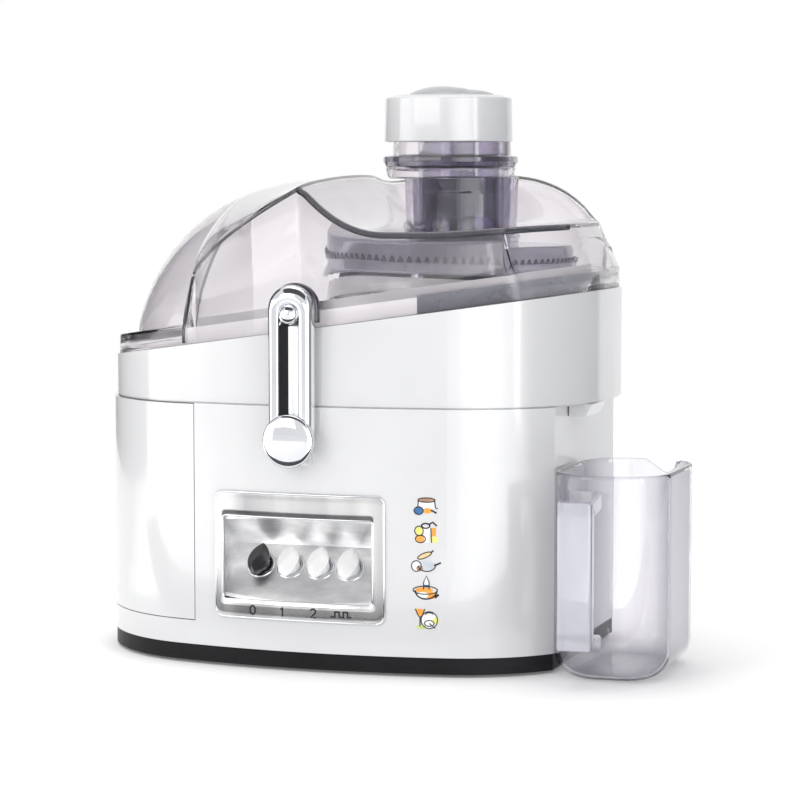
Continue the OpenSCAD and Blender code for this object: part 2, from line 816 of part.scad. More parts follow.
module pusher_cap_dome() {
    rise = top_z - cap_top_z;
    r = 27;
    ball = (r ^ 2 + rise ^ 2) / (2 * rise);
    color("lightgray") at_body() translate([cap_x, 0, cap_top_z]) intersection() {
        translate([0, 0, rise - ball]) sphere(ball, $fn = 180);
        cylinder(r = r, h = rise + 1);
    }
}

// --- pulp bin ------------------------------------------------------------------------------
bin_gap = 0.5;
module pulp_bin() {
    color(white) at_body() difference() {
        slab(bin_z + bin_gap, body_top - bin_gap);
        between_x(bin_x - bin_gap, 200);
        difference() {
            slab(bin_z + bin_gap + wall, body_top, wall);
            between_x(bin_x - bin_gap - wall, 200);
        }
    }
}

// --- jug -----------------------------------------------------------------------------------
jug_y0 = -91;
jug_t = 2.2;
lip_x = 44;
handle_x = [12.6, 31.6];
handle_y = -117;
handle_z = [17, 104];
handle_t = 10;

// Rounded box with a rounded foot, shrunk by t on the sides and the floor
module jug_form(t, h) {
    r = jug_foot - t;
    c = jug_corner - t;
    hull() {
        for (x = [jug_corner, jug_w - jug_corner], y = [jug_corner, jug_d - jug_corner])
            translate([x, y, 0]) {
                translate([0, 0, jug_foot]) cylinder(r = c, h = h - jug_foot, $fn = 40);
                translate([0, 0, jug_foot]) rotate_extrude($fn = 40) translate([c - r, 0])
                    intersection() {
                        circle(r, $fn = 40);
                        translate([0, -r]) square(r);
                    }
            }
    }
}
module jug() {
    color(smoke) at_body() translate([jug_x0, jug_y0, 0]) difference() {
        union() {
            jug_form(0, jug_h);
            translate([handle_x[0], 0, 0]) rotate([90, 0, 90])
                linear_extrude(handle_x[1] - handle_x[0]) handle_profile();
        }
        jug_form(jug_t, jug_h + 5);
        translate([lip_x, jug_d - 6, jug_h]) rotate([-90, 0, 0])
            linear_extrude(10) polygon([[-12, -1], [0, 8], [12, -1]]);
    }
}
// Side view of the handle: a bar with an arm at each end (Y from the jug wall, Z)
module handle_profile() {
    out = handle_y - jug_y0;
    difference() {
        translate([out, handle_z[0]]) square([4 - out, handle_z[1] - handle_z[0]]);
        translate([out + handle_t, handle_z[0] + handle_t])
            square([20, handle_z[1] - handle_z[0] - 2 * handle_t]);
    }
}

// --- clamps --------------------------------------------------------------------------------
arm_top = 94;
arm_w = 23;
arm_y = [-3.9, 4.8];
knob_z = 10;
knob_r = 14.8;
knob_front = -7.6;
nose_z = 84.6;
nose_y = 6.2;
ear_gap = 0.4;
groove_z = [24, 76];

// Arm: a deep bar with a round top, a tongue round the pin and a nose over the lid catch
module clamp_arm(side) {
    color(chrome) at_clamp(side) difference() {
        union() {
            translate([0, arm_y[1], 0]) rotate([90, 0, 0]) linear_extrude(arm_y[1] - arm_y[0]) {
                translate([0, arm_top - arm_w / 2]) circle(arm_w / 2);
                translate([-arm_w / 2, knob_z]) square([arm_w, arm_top - arm_w / 2 - knob_z]);
            }
            translate([-ear_x[0] + ear_gap, arm_y[0], 0])
                cube([2 * (ear_x[0] - ear_gap), arm_y[1] - arm_y[0], knob_z + 1]);
            rotate([0, 90, 0]) rod(ear_r + 0.3, -ear_x[0] + ear_gap, ear_x[0] - ear_gap);
            translate([-6, 0, nose_z]) cube([12, nose_y, 4]);
            translate([0, arm_y[0], arm_top - arm_w / 2]) rotate([90, 0, 0]) rod(6.2, 0, 2.4);
        }
        rotate([0, 90, 0]) rod(clamp_pin_r, -20, 20);
        translate([-5, arm_y[0] - 1, groove_z[0]]) cube([10, 3.5, groove_z[1] - groove_z[0]]);
        translate([0, 1, knob_z]) rotate([90, 0, 0]) rod(knob_r - 2.5, 0, 20);
    }
}
// Knob: a thick domed button on the lower end of the arm
module clamp_knob(side) {
    button = 26;
    color(chrome) at_clamp(side) difference() {
        translate([0, 0, knob_z]) rotate([90, 0, 0]) {
            rod(knob_r - 2.5, -1, 4);
            rod(knob_r, -arm_y[0], -knob_front - 2.5);
            intersection() {
                translate([0, 0, -knob_front - button]) sphere(button, $fn = 120);
                rod(knob_r, -knob_front - 2.5, -knob_front + 1);
            }
        }
        rotate([0, 90, 0]) rod(ear_r + 0.5, -20, 20);
    }
}
module clamp_pin(side) {
    color(steel) at_clamp(side) rotate([0, 90, 0]) rod(clamp_pin_r, -ear_x[1], ear_x[1]);
}
module front_clamp_arm() clamp_arm(-1);
module front_clamp_knob() clamp_knob(-1);
module front_clamp_pin() clamp_pin(-1);
module rear_clamp_arm() clamp_arm(1);
module rear_clamp_knob() clamp_knob(1);
module rear_clamp_pin() clamp_pin(1);

base_tray();
rubber_feet();
base_screws();
motor_housing();
clamp_ears();
cord_gland();
control_panel();
key_pocket();
switch_bank();
key_off();
key_low();
key_high();
key_pulse();
microswitch();
lower_bracket();
upper_bracket();
motor_mounts();
motor_bolts();
stator_core();
field_coils();
brush_holders();
carbon_brushes();
lower_bearing();
upper_bearing();
shaft_seal();
motor_shaft();
armature();
commutator();
cooling_fan();
drive_coupling();
juice_collector();
collector_bowl();
juice_spout();
basket_hub();
basket_mesh();
basket_rim();
grating_disc();
basket_nut();
lid_dome();
lid_seal();
basket_cover();
feed_chute();
pusher_body();
pusher_cap();
pusher_cap_dome();
pulp_bin();
jug();
front_clamp_arm();
front_clamp_knob();
front_clamp_pin();
rear_clamp_arm();
rear_clamp_knob();
rear_clamp_pin();
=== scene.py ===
import json
import math

import bmesh
import bpy
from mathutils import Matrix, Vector


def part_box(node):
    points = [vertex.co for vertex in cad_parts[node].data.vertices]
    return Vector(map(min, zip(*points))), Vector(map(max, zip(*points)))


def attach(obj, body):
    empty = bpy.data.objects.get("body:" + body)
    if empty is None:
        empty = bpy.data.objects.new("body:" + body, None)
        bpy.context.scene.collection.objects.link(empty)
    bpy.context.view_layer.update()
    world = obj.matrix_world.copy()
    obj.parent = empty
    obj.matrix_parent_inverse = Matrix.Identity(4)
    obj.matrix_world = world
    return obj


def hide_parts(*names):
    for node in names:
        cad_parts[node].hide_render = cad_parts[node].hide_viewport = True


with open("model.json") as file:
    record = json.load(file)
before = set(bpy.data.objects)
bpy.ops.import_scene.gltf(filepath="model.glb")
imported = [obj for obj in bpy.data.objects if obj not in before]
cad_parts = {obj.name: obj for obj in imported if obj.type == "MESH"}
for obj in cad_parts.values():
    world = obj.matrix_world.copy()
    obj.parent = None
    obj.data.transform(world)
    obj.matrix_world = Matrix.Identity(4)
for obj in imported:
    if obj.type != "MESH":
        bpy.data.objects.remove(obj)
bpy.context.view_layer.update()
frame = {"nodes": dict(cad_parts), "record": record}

NODES = frame["nodes"]
MM = 0.001


# --- coordinates ---
# Pieces are drawn in millimetres about the middle of the oval body, as in part.scad.
HALF_L, HALF_W = 146.9, 105.75
BODY_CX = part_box("pulp_bin")[0].x / MM + HALF_L


def at(x, y, z):
    return Vector(((x + BODY_CX) * MM, y * MM, z * MM))


def clamp01(t):
    return min(1.0, max(0.0, t))


def smooth(t):
    u = clamp01(t)
    return u * u * (3 - 2 * u)


def mix(a, b, t):
    return a + (b - a) * t


# --- the oval plan and the lid, as in part.scad ---
SIDE_R, END_R, CORNER_R = 400.0, 300.0, 84.0
SIDE_C, END_C = HALF_W - SIDE_R, HALF_L - END_R
_span = math.hypot(END_C, SIDE_C)
_along = ((SIDE_R - CORNER_R) ** 2 - (END_R - CORNER_R) ** 2 + _span ** 2) / (2 * _span)
_across = math.sqrt((SIDE_R - CORNER_R) ** 2 - _along ** 2)
CORNER_X = _along * END_C / _span - _across * SIDE_C / _span
CORNER_Y = SIDE_C - _along * SIDE_C / _span - _across * END_C / _span
LID_INSET, LID_T, FLANGE_H = 3.2, 2.4, 11.0
SHELF_LEFT, SHELF_RIGHT = 11.0, 8.0
SEAM_Z, SEAM_SLOPE = 188.0, 0.14
CROWN_Z, HUMP_RISE, HUMP_RUN = 270.0, 8.5, 50.0
DECK_Z, DECK_RISE = 241.0, 4.0
DOME_X, HUMP_X = -12.0, 60.0
WING_X, WING_Z, WING_RUN = -69.0, 216.0, 7.0
PEAK_RISE, PEAK_RUN = 51.0, 68.0
LEAN, LEAN_X, LEAN_RUN, LEAN_FREE = 2.4, 90.0, 25.0, 100.0
CHUTE_X, CHUTE_R, CHUTE_BORE = 56.4, 29.3, 26.0
AXIS_X, BOWL_R = 45.0, 76.5


def half_width(x, inset=0.0):
    """Half width of the oval at x, moved inwards by inset."""
    ax = abs(x)
    if ax <= CORNER_X * (SIDE_R - inset) / (SIDE_R - CORNER_R):
        return SIDE_C + math.sqrt((SIDE_R - inset) ** 2 - ax * ax)
    if ax >= HALF_L - inset:
        return 0.0
    r, end = CORNER_R - inset, END_R - inset
    yc = CORNER_Y + math.sqrt(r * r - (ax - CORNER_X) ** 2) if abs(ax - CORNER_X) < r else 0.0
    if yc >= CORNER_Y * end / (END_R - CORNER_R):
        return yc
    return math.sqrt(max(0.0, end * end - (ax - END_C) ** 2))


def flange_z(x):
    """Top of the lid's flange, which climbs with the seam."""
    return SEAM_Z + SEAM_SLOPE * x + FLANGE_H


def shelf(x):
    """Width of the flat step between the flange and the foot of the dome."""
    return mix(SHELF_LEFT, SHELF_RIGHT, smooth((x + 20) / 40))


def crown(x):
    """Height of the lid along its middle line."""
    low = flange_z(x)
    if x < DOME_X:
        t = clamp01((DOME_X - x) / (DOME_X + HALF_L - LID_INSET - SHELF_LEFT))
        return mix(low, CROWN_Z, (1 - t ** 2.2) ** (1 / 2.2))
    if x < HUMP_X:
        return CROWN_Z + HUMP_RISE * math.sin(math.pi / 2 * clamp01((x - DOME_X) / HUMP_RUN))
    t = clamp01((x - HUMP_X) / (HALF_L - LID_INSET - SHELF_RIGHT - HUMP_X))
    return mix(low, CROWN_Z + HUMP_RISE, (1 - t ** 2.5) ** (1 / 2.5))


def wing(x):
    """Top edge of the upright front wall."""
    if x < WING_X:
        return mix(flange_z(x), WING_Z, smooth((x - WING_X) / WING_RUN + 1))
    return WING_Z + PEAK_RISE * clamp01((x - WING_X) / PEAK_RUN) ** 0.73


def deck(x):
    """Floor of the scoop in front of the chute."""
    return DECK_Z + DECK_RISE * smooth((x - 60) / 80)


def dome(x, y):
    """The lid before the scoop is taken out of it."""
    rim = max(0.001, half_width(x, LID_INSET))
    foot = max(0.001, half_width(x, LID_INSET + shelf(x)))
    if x < WING_X - WING_RUN:
        low = flange_z(x)
    elif x < DOME_X:
        low = flange_z(x) if y > 0 else wing(x)
    else:
        low = mix(wing(x), flange_z(x), smooth(y / 45))
    rounding = 2.6 if y > 0 else 1.55
    reach = clamp01(abs(y) / (foot if y > 0 or x < WING_X - WING_RUN else rim))
    return mix(low, max(low, crown(x)), (1 - reach ** rounding) ** (1 / rounding))


def scoop(x, y):
    """How far the scoop has opened at a point, from 0 to 1."""
    return smooth((50 - y) / 30) * (1 - (1 - clamp01((x + 5) / 50)) ** 2.2)


def depth(x, y):
    """How far a point lies inside the edge of the oval."""
    ax, ay = abs(x), abs(y)
    dx, dy = ax - CORNER_X, ay - CORNER_Y
    if CORNER_X * dy <= (CORNER_Y - SIDE_C) * dx and (CORNER_X - END_C) * dy >= CORNER_Y * dx:
        return CORNER_R - math.hypot(dx, dy)
    return min(SIDE_R - math.hypot(ax, ay - SIDE_C), END_R - math.hypot(ax - END_C, ay))


def lean_free(x):
    """Height that the wall keeps before it starts to lean inwards near the right end."""
    return LEAN_FREE * (1 - smooth((x - LEAN_X) / LEAN_RUN))


def lid_z(x, y):
    """Height of the lid's outside."""
    z = dome(x, y)
    scooped = mix(z, min(z, deck(x)), scoop(x, y))
    leaning = flange_z(x) + lean_free(x) + LEAN * max(0.0, depth(x, y) - LID_INSET)
    return max(flange_z(x), min(scooped, leaning))


# --- materials ---
def shade(name, dark, light, rough, patch=14.0, grain=900.0, bump=0.05, stretch=(1, 1, 1), **sockets):
    """Principled finish: colour between two tones in soft patches, uneven roughness, fine grain."""
    mat = bpy.data.materials.new(name)
    mat.use_nodes = True
    nodes, links = mat.node_tree.nodes, mat.node_tree.links
    bsdf = nodes["Principled BSDF"]
    coord = nodes.new("ShaderNodeTexCoord")
    mapping = nodes.new("ShaderNodeMapping")
    mapping.inputs["Scale"].default_value = stretch
    links.new(coord.outputs["Object"], mapping.inputs["Vector"])

    def noise(scale, detail):
        node = nodes.new("ShaderNodeTexNoise")
        node.inputs["Scale"].default_value = scale
        node.inputs["Detail"].default_value = detail
        links.new(mapping.outputs["Vector"], node.inputs["Vector"])
        return node.outputs["Fac"]

    ramp = nodes.new("ShaderNodeValToRGB")
    ramp.color_ramp.elements[0].position = 0.3
    ramp.color_ramp.elements[1].position = 0.7
    ramp.color_ramp.elements[0].color = (*dark, 1)
    ramp.color_ramp.elements[1].color = (*light, 1)
    links.new(noise(patch, 3), ramp.inputs["Fac"])
    links.new(ramp.outputs["Color"], bsdf.inputs["Base Color"])
    spread = nodes.new("ShaderNodeMapRange")
    spread.inputs["To Min"].default_value, spread.inputs["To Max"].default_value = rough
    links.new(noise(patch * 5, 4), spread.inputs["Value"])
    links.new(spread.outputs["Result"], bsdf.inputs["Roughness"])
    if bump:
        relief = nodes.new("ShaderNodeBump")
        relief.inputs["Strength"].default_value = bump
        relief.inputs["Distance"].default_value = 0.0003
        links.new(noise(grain, 2), relief.inputs["Height"])
        links.new(relief.outputs["Normal"], bsdf.inputs["Normal"])
    for key, value in sockets.items():
        bsdf.inputs[key.replace("_", " ")].default_value = value
    return mat


def clear(name, dark, light, slant, rough=(0.0, 0.03), ior=1.1, bend=0.5, through=1.0, haze=0.02):
    """Tinted clear plastic that is deeper in colour where the wall is seen at a slant."""
    mat = shade(name, dark, light, rough, patch=9, grain=60, bump=0.03, Transmission_Weight=through,
                IOR=ior, Coat_Weight=0.9, Coat_Roughness=haze, Coat_IOR=1.5)
    nodes, links = mat.node_tree.nodes, mat.node_tree.links
    base = nodes["Principled BSDF"].inputs["Base Color"]
    weight = nodes.new("ShaderNodeLayerWeight")
    weight.inputs["Blend"].default_value = bend
    blend = nodes.new("ShaderNodeMix")
    blend.data_type = "RGBA"
    links.new(weight.outputs["Facing"], blend.inputs["Factor"])
    links.new(base.links[0].from_socket, blend.inputs["A"])
    blend.inputs["B"].default_value = (*slant, 1)
    links.new(blend.outputs["Result"], base)
    return mat


MATS = {
    "white_shell": shade("white_gloss", (0.64, 0.642, 0.652), (0.68, 0.682, 0.69), (0.14, 0.22),
                         grain=260, bump=0.02, Coat_Weight=0.6, Coat_Roughness=0.04),
    "black_plastic": shade("black_satin", (0.008, 0.008, 0.009), (0.014, 0.014, 0.016), (0.32, 0.48),
                           grain=1500, Specular_IOR_Level=0.12),
    "rubber": shade("rubber", (0.02, 0.02, 0.02), (0.035, 0.035, 0.035), (0.65, 0.85), grain=1200,
                    bump=0.12),
    "seal_rubber": shade("seal_silicone", (0.93, 0.93, 0.94), (0.97, 0.97, 0.97), (0.2, 0.3)),
    "steel": shade("brushed_steel", (0.50, 0.51, 0.53), (0.66, 0.67, 0.69), (0.2, 0.36), patch=60,
                   grain=500, bump=0.1, stretch=(1, 1, 9), Metallic=1.0),
    "mirror_chrome": shade("mirror_chrome", (0.66, 0.67, 0.70), (0.76, 0.77, 0.80), (0.02, 0.07), bump=0.0,
                           Metallic=1.0),
    "silver_panel": shade("silver_panel", (0.34, 0.34, 0.35), (0.72, 0.72, 0.72), (0.12, 0.2), patch=34,
                          grain=700, bump=0.05, stretch=(1, 1, 0.05), Metallic=0.9),
    "lamination": shade("lamination", (0.10, 0.10, 0.11), (0.2, 0.2, 0.21), (0.35, 0.5), patch=40,
                        stretch=(1, 1, 30), Metallic=0.8),
    "copper": shade("winding_copper", (0.42, 0.18, 0.07), (0.62, 0.30, 0.13), (0.25, 0.4), patch=60,
                    stretch=(1, 1, 12), Metallic=1.0),
    "carbon": shade("carbon", (0.015, 0.015, 0.015), (0.04, 0.04, 0.04), (0.5, 0.7)),
    "smoke_clear": clear("smoke_clear", (0.95, 0.925, 0.945), (0.985, 0.965, 0.98), (0.34, 0.32, 0.35),
                         bend=0.2, haze=0.12),
    # grey_cap: the pusher cap's white top painted grey as the shade that falls on it
    "grey_cap": shade("cap_top_painted_shade", (0.33, 0.335, 0.35), (0.38, 0.385, 0.40), (0.14, 0.24),
                      grain=300, bump=0.02),
    "white_key": shade("white_key", (0.82, 0.82, 0.82), (0.87, 0.87, 0.87), (0.12, 0.22),
                       grain=300, bump=0.02, Coat_Weight=0.3),
    "black_key": shade("black_key", (0.014, 0.014, 0.016), (0.026, 0.026, 0.03), (0.14, 0.26),
                       grain=300, bump=0.03, Coat_Weight=0.3),
}
DEEP = clear("smoke_deep", (0.34, 0.32, 0.38), (0.42, 0.40, 0.46), (0.12, 0.12, 0.15), ior=1.3)
CHUTE = clear("smoke_chute", (0.64, 0.61, 0.71), (0.72, 0.70, 0.79), (0.16, 0.14, 0.18), ior=1.15, bend=0.3)
RIBS = clear("smoke_ribs", (0.66, 0.64, 0.72), (0.72, 0.70, 0.78), (0.2, 0.2, 0.24), ior=1.05, bend=0.3)
COVER = clear("smoke_cover", (0.66, 0.64, 0.74), (0.74, 0.72, 0.81), (0.42, 0.41, 0.50), (0.12, 0.26),
              through=0.75, bend=0.35)
# FLANGE_SHADE: grey translucent tint of the painted shade band inside the lid's right end
FLANGE_SHADE = clear("flange_painted_shade", (0.40, 0.42, 0.48), (0.46, 0.48, 0.54), (0.36, 0.38, 0.42), (0.2, 0.35),
             through=0.45, bend=0.3)
JUG_CLEAR = clear("jug_clear", (0.90, 0.89, 0.92), (0.95, 0.94, 0.96), (0.22, 0.205, 0.27), ior=1.12)
GRIP = clear("jug_grip", (0.80, 0.80, 0.88), (0.88, 0.88, 0.95), (0.20, 0.20, 0.28), (0.05, 0.12),
             ior=1.25, through=0.55)
# LIP: near-white with a faint glow, painted light on the lip that the lid's glass shades
LIP = shade("white_lip_painted_glow", (0.92, 0.92, 0.93), (0.97, 0.97, 0.97), (0.2, 0.3), bump=0.0, Coat_Weight=0.4,
            Emission_Color=(1, 1, 1, 1), Emission_Strength=0.25)
# CLEAR_EDGE_SHADE: near-black on clear plastic edges, painted shade for their dark refraction lines
CLEAR_EDGE_SHADE = shade("clear_edge_painted_shade", (0.035, 0.035, 0.045), (0.06, 0.06, 0.075), (0.08, 0.16), bump=0.0,
             Coat_Weight=0.3)
POCKET = shade("pocket_mirror", (0.62, 0.62, 0.63), (0.95, 0.95, 0.95), (0.28, 0.5), patch=45, grain=220,
               bump=0.35, stretch=(1, 1, 2.5), Metallic=1.0)
PRINT_DARK = shade("print_dark", (0.02, 0.02, 0.025), (0.04, 0.04, 0.045), (0.6, 0.75),
                   Specular_IOR_Level=0.15)
INK_TONES = (
    ("orange", (0.80, 0.30, 0.03), (0.90, 0.42, 0.06)),
    ("yellow", (0.75, 0.74, 0.18), (0.85, 0.84, 0.30)),
    ("blue", (0.02, 0.10, 0.28), (0.04, 0.18, 0.42)),
    ("brown", (0.36, 0.20, 0.13), (0.48, 0.28, 0.18)),
    ("tan", (0.80, 0.56, 0.26), (0.88, 0.66, 0.36)),
    ("grey", (0.50, 0.53, 0.58), (0.62, 0.65, 0.70)),
    ("white", (0.84, 0.85, 0.86), (0.90, 0.90, 0.90)),
    ("green", (0.45, 0.55, 0.16), (0.58, 0.66, 0.24)),
)
PRINTS = [shade("print_" + ink, dark, light, (0.3, 0.45), patch=220) for ink, dark, light in INK_TONES]


# --- mesh tools ---
def piece(name, verts, faces, mat, body, slot=None, replaces=(), flat=False, weld=0.00002, sharp=None):
    """A mesh object in the row frame from points in metres, riding on a body."""
    mesh = bpy.data.meshes.new(name)
    mesh.from_pydata([tuple(v) for v in verts], [], faces)
    bm = bmesh.new()
    bm.from_mesh(mesh)
    bmesh.ops.remove_doubles(bm, verts=bm.verts, dist=weld)
    bmesh.ops.dissolve_degenerate(bm, dist=weld / 4, edges=bm.edges)
    bmesh.ops.recalc_face_normals(bm, faces=bm.faces)
    if sharp is not None:
        for e in bm.edges:
            if len(e.link_faces) == 2 and e.calc_face_angle(0) > math.radians(sharp):
                e.smooth = False
    for f in bm.faces:
        f.smooth = not flat
    bm.to_mesh(mesh)
    bm.free()
    mesh.materials.append(mat)
    obj = bpy.data.objects.new(name, mesh)
    bpy.context.scene.collection.objects.link(obj)
    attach(obj, body)
    if replaces:
        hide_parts(*replaces)
    return obj


def loft(rings, closed=True, caps=(False, False), loop=False):
    """Faces and points between rings of equal count; loop joins the last ring to the first."""
    n = len(rings[0])
    verts = [v for ring in rings for v in ring]
    faces = []
    last = len(rings) if loop else len(rings) - 1
    for i in range(last):
        a, b = i * n, (i + 1) % len(rings) * n
        for k in range(n if closed else n - 1):
            j = (k + 1) % n
            faces.append((a + k, a + j, b + j, b + k))
    if caps[0]:
        faces.append(tuple(range(n - 1, -1, -1)))
    if caps[1]:
        faces.append(tuple((len(rings) - 1) * n + k for k in range(n)))
    return verts, faces


def lofted(name, rings, mat, body, slot=None, replaces=(), caps=(True, True), loop=False, **kw):
    """A piece through rings, with its ends closed or, for a loop, joined to each other."""
    verts, faces = loft(rings, caps=(False, False) if loop else caps, loop=loop)
    return piece(name, verts, faces, mat, body, slot, replaces, **kw)


def turned(profile, x, y=0.0, stretch=0.0, n=96):
    """Rings of a profile of (radius, height) turned about an upright axis, pulled apart along X."""
    rings = []
    for r, z in profile:
        ring = []
        for side in (1, -1):
            for k in range(n // 2 + 1):
                a = math.pi * (k / (n // 2) - 0.5) + (0 if side > 0 else math.pi)
                ring.append(at(x + r * math.cos(a) + side * stretch, y + r * math.sin(a), z))
        rings.append(ring)
    return rings


def full_turn(n):
    return [2 * math.pi * k / n for k in range(n)]


def quarter_turn(steps):
    return [math.pi / 2 * k / steps for k in range(steps + 1)]


def fillet(profile, radii, steps=6):
    """Rounds the corners of an open or closed list of (r, z) points; radii in step with the points."""
    out = []
    n = len(profile)
    for i, (p, rad) in enumerate(zip(profile, radii)):
        if not rad:
            out.append(p)
            continue
        a, b = Vector(profile[i - 1]), Vector(profile[(i + 1) % n])
        p = Vector(p)
        u, v = (a - p).normalized(), (b - p).normalized()
        half = u.angle(v) / 2
        cut = min(rad / math.tan(half), (a - p).length * 0.49, (b - p).length * 0.49)
        rad = cut * math.tan(half)
        c = p + (u + v).normalized() * (rad / math.sin(half))
        s, e = p + u * cut - c, p + v * cut - c
        for k in range(steps + 1):
            w = s.slerp(e, k / steps) if s.angle(e) > 1e-4 else s
            out.append(tuple(c + w))
    return out


def lathe(name, profile, radii, x, mat, body, stretch=0.0, n=128, **kw):
    """A closed solid of revolution from a closed profile of (radius, height), its corners rounded."""
    return lofted(name, turned(fillet(profile, radii), x, stretch=stretch, n=n), mat, body, loop=True, **kw)


def rounded(w, h, r, cx=0.0, cy=0.0, per=8, edge=1):
    """Outline of a rounded rectangle, with edge extra divisions along each side."""
    pts = []
    corners = ((w / 2 - r, h / 2 - r, 0), (-w / 2 + r, h / 2 - r, 90), (-w / 2 + r, -h / 2 + r, 180),
               (w / 2 - r, -h / 2 + r, 270))
    for i, (x, y, a0) in enumerate(corners):
        arc = [(cx + x + r * math.cos(math.radians(a0 + 90 * k / per)),
                cy + y + r * math.sin(math.radians(a0 + 90 * k / per))) for k in range(per + 1)]
        pts += arc
        nx, ny, na = corners[(i + 1) % 4]
        end = (cx + nx + r * math.cos(math.radians(na)), cy + ny + r * math.sin(math.radians(na)))
        for k in range(1, edge):
            pts.append((mix(arc[-1][0], end[0], k / edge), mix(arc[-1][1], end[1], k / edge)))
    return pts


def thicken(obj, thickness):
    """Gives a skin its wall thickness, inwards."""
    wall = obj.modifiers.new("Solidify", "SOLIDIFY")
    wall.thickness = thickness
    wall.offset = -1.0


def tube(name, path, r, mat, body, sides=10, **kw):
    """A round bar along a path of points in metres, closed at both ends."""
    rings = []
    for i, p in enumerate(path):
        t = (path[min(i + 1, len(path) - 1)] - path[max(i - 1, 0)]).normalized()
        side = t.cross(Vector((0, 0, 1)))
        side = side.normalized() if side.length > 1e-4 else Vector((1, 0, 0))
        up = side.cross(t)
        rings.append([p + (side * math.cos(a) + up * math.sin(a)) * r * MM for a in full_turn(sides)])
    lofted(name, rings, mat, body, **kw)


# --- camera, light and floor ---
scene = bpy.context.scene
scene.view_settings.view_transform = "Standard"
cam_data = bpy.data.cameras.new("camera")
cam_data.lens = 120
cam_data.sensor_width = 36
camera = bpy.data.objects.new("camera", cam_data)
scene.collection.objects.link(camera)
target = at(19.2, 0, 141.9)
azimuth, elevation, distance = math.radians(18.65), math.radians(4.716), 1.5451
sight = Vector((-math.sin(azimuth) * math.cos(elevation), math.cos(azimuth) * math.cos(elevation),
                -math.sin(elevation)))
camera.location = target - sight * distance
camera.rotation_euler = sight.to_track_quat("-Z", "Y").to_euler()
scene.camera = camera


def softbox(name, place, aim, width, height, power):
    """A rectangular lamp at a place in metres, turned towards another."""
    data = bpy.data.lights.new(name, "AREA")
    data.shape = "RECTANGLE"
    data.size, data.size_y = width, height
    data.energy = power
    lamp = bpy.data.objects.new(name, data)
    scene.collection.objects.link(lamp)
    lamp.location = place
    lamp.rotation_euler = (Vector(aim) - Vector(place)).to_track_quat("-Z", "Y").to_euler()


softbox("key_light", (-0.62, -1.35, 0.62), (0, 0, 0.13), 0.7, 0.7, 4)
softbox("strip_light", (1.25, -0.75, 0.45), (0, 0, 0.12), 0.14, 1.3, 2.2)
softbox("top_light", (-0.1, 0.1, 1.5), (0, 0, 0.1), 1.2, 1.0, 5)

world = bpy.data.worlds.new("studio")
scene.world = world
world.use_nodes = True
sky = world.node_tree.nodes["Background"]
sky.inputs["Color"].default_value = (1.0, 1.0, 1.0, 1)
sky.inputs["Strength"].default_value = 1.0


def stage_mesh(name, verts, faces, mat):
    """A sheet of the studio, which is not part of the object."""
    mesh = bpy.data.meshes.new(name)
    mesh.from_pydata([tuple(v) for v in verts], [], faces)
    mesh.materials.append(mat)
    obj = bpy.data.objects.new(name, mesh)
    scene.collection.objects.link(obj)
    return obj


def reflection_only(obj, seen_by_diffuse=False):
    """Hides a sheet from everything but reflections and, if asked, soft light."""
    obj.visible_camera = obj.visible_transmission = obj.visible_shadow = False
    obj.visible_volume_scatter = False
    obj.visible_diffuse = seen_by_diffuse


def stage_card(name, corners, mat, seen_by_diffuse=False):
    reflection_only(stage_mesh(name, corners, [(0, 1, 2, 3)], mat), seen_by_diffuse)


CARD = shade("studio_card", (0.05, 0.05, 0.055), (0.06, 0.06, 0.065), (0.8, 0.9), bump=0.0)
CARD_GREY = shade("studio_card_grey", (0.26, 0.27, 0.30), (0.28, 0.29, 0.32), (0.8, 0.9), bump=0.0)
stage_card("card_low", [(-0.7, -0.33, 0.003), (0.7, -0.33, 0.003), (0.7, -0.19, 0.003),
                        (-0.7, -0.19, 0.003)], CARD)
stage_card("card_left", [(-1.0, -0.28, 0.0), (-1.0, 0.9, 0.0), (-1.0, 0.9, 1.2), (-1.0, -0.28, 1.2)],
           CARD)
stage_card("card_over", [(-1.0, -1.6, 1.3), (1.0, -1.6, 1.3), (1.0, -0.5, 1.45), (-1.0, -0.5, 1.45)],
           CARD)
stage_card("card_right", [(0.85, -0.35, 0.0), (0.85, 1.3, 0.0), (0.85, 1.3, 1.1), (0.85, -0.35, 1.1)],
           CARD_GREY, seen_by_diffuse=True)


def glow(name, a0, a1, strength):
    """A bright sector of the studio, on the floor and standing behind it, that only reflections can see.
    Angles in degrees from straight ahead (-Y) towards +X."""
    near, far, low, high, steps = 0.36, 2.0, 0.002, 0.9, 3
    rings = []
    for r, z in ((near, low), (far, low), (far, high)):
        angles = [math.radians(mix(a0, a1, k / steps)) for k in range(steps + 1)]
        rings.append([Vector((r * math.sin(a), -r * math.cos(a), z)) for a in angles])
    mat = shade(name, (0.8, 0.8, 0.8), (0.9, 0.9, 0.9), (0.8, 0.9), bump=0.0,
                Emission_Color=(1, 1, 1, 1), Emission_Strength=strength)
    reflection_only(stage_mesh(name, *loft(rings, closed=False), mat))


def glow_fan(name, first, last, peak, sectors=7, faint=0.2):
    """Neighbouring sectors that fade from a bright middle to faint ends."""
    for i in range(sectors):
        fade = math.sin(math.pi * (i + 0.5) / sectors) ** 0.8
        glow("%s_%d" % (name, i), mix(first, last, i / sectors), mix(first, last, (i + 1) / sectors),
             mix(faint, peak, fade))


glow_fan("glow_left", -88, -32, 2.2)
glow_fan("glow_right", 8, 64, 3.2)


def studio_floor():
    """A wide pale sheet under the object."""
    xs = [-6.0, -1.5, -0.5, 0.0, 0.5, 1.5, 6.0]
    rings = [[Vector((x, y, -0.0002)) for x in xs] for y in xs]
    mat = shade("floor_sheet", (0.90, 0.90, 0.90), (0.92, 0.92, 0.92), (0.6, 0.7), patch=2, grain=40,
                bump=0.0, Emission_Color=(1, 1, 1, 1), Emission_Strength=0.12)
    stage_mesh("floor", *loft(rings, closed=False), mat)


studio_floor()

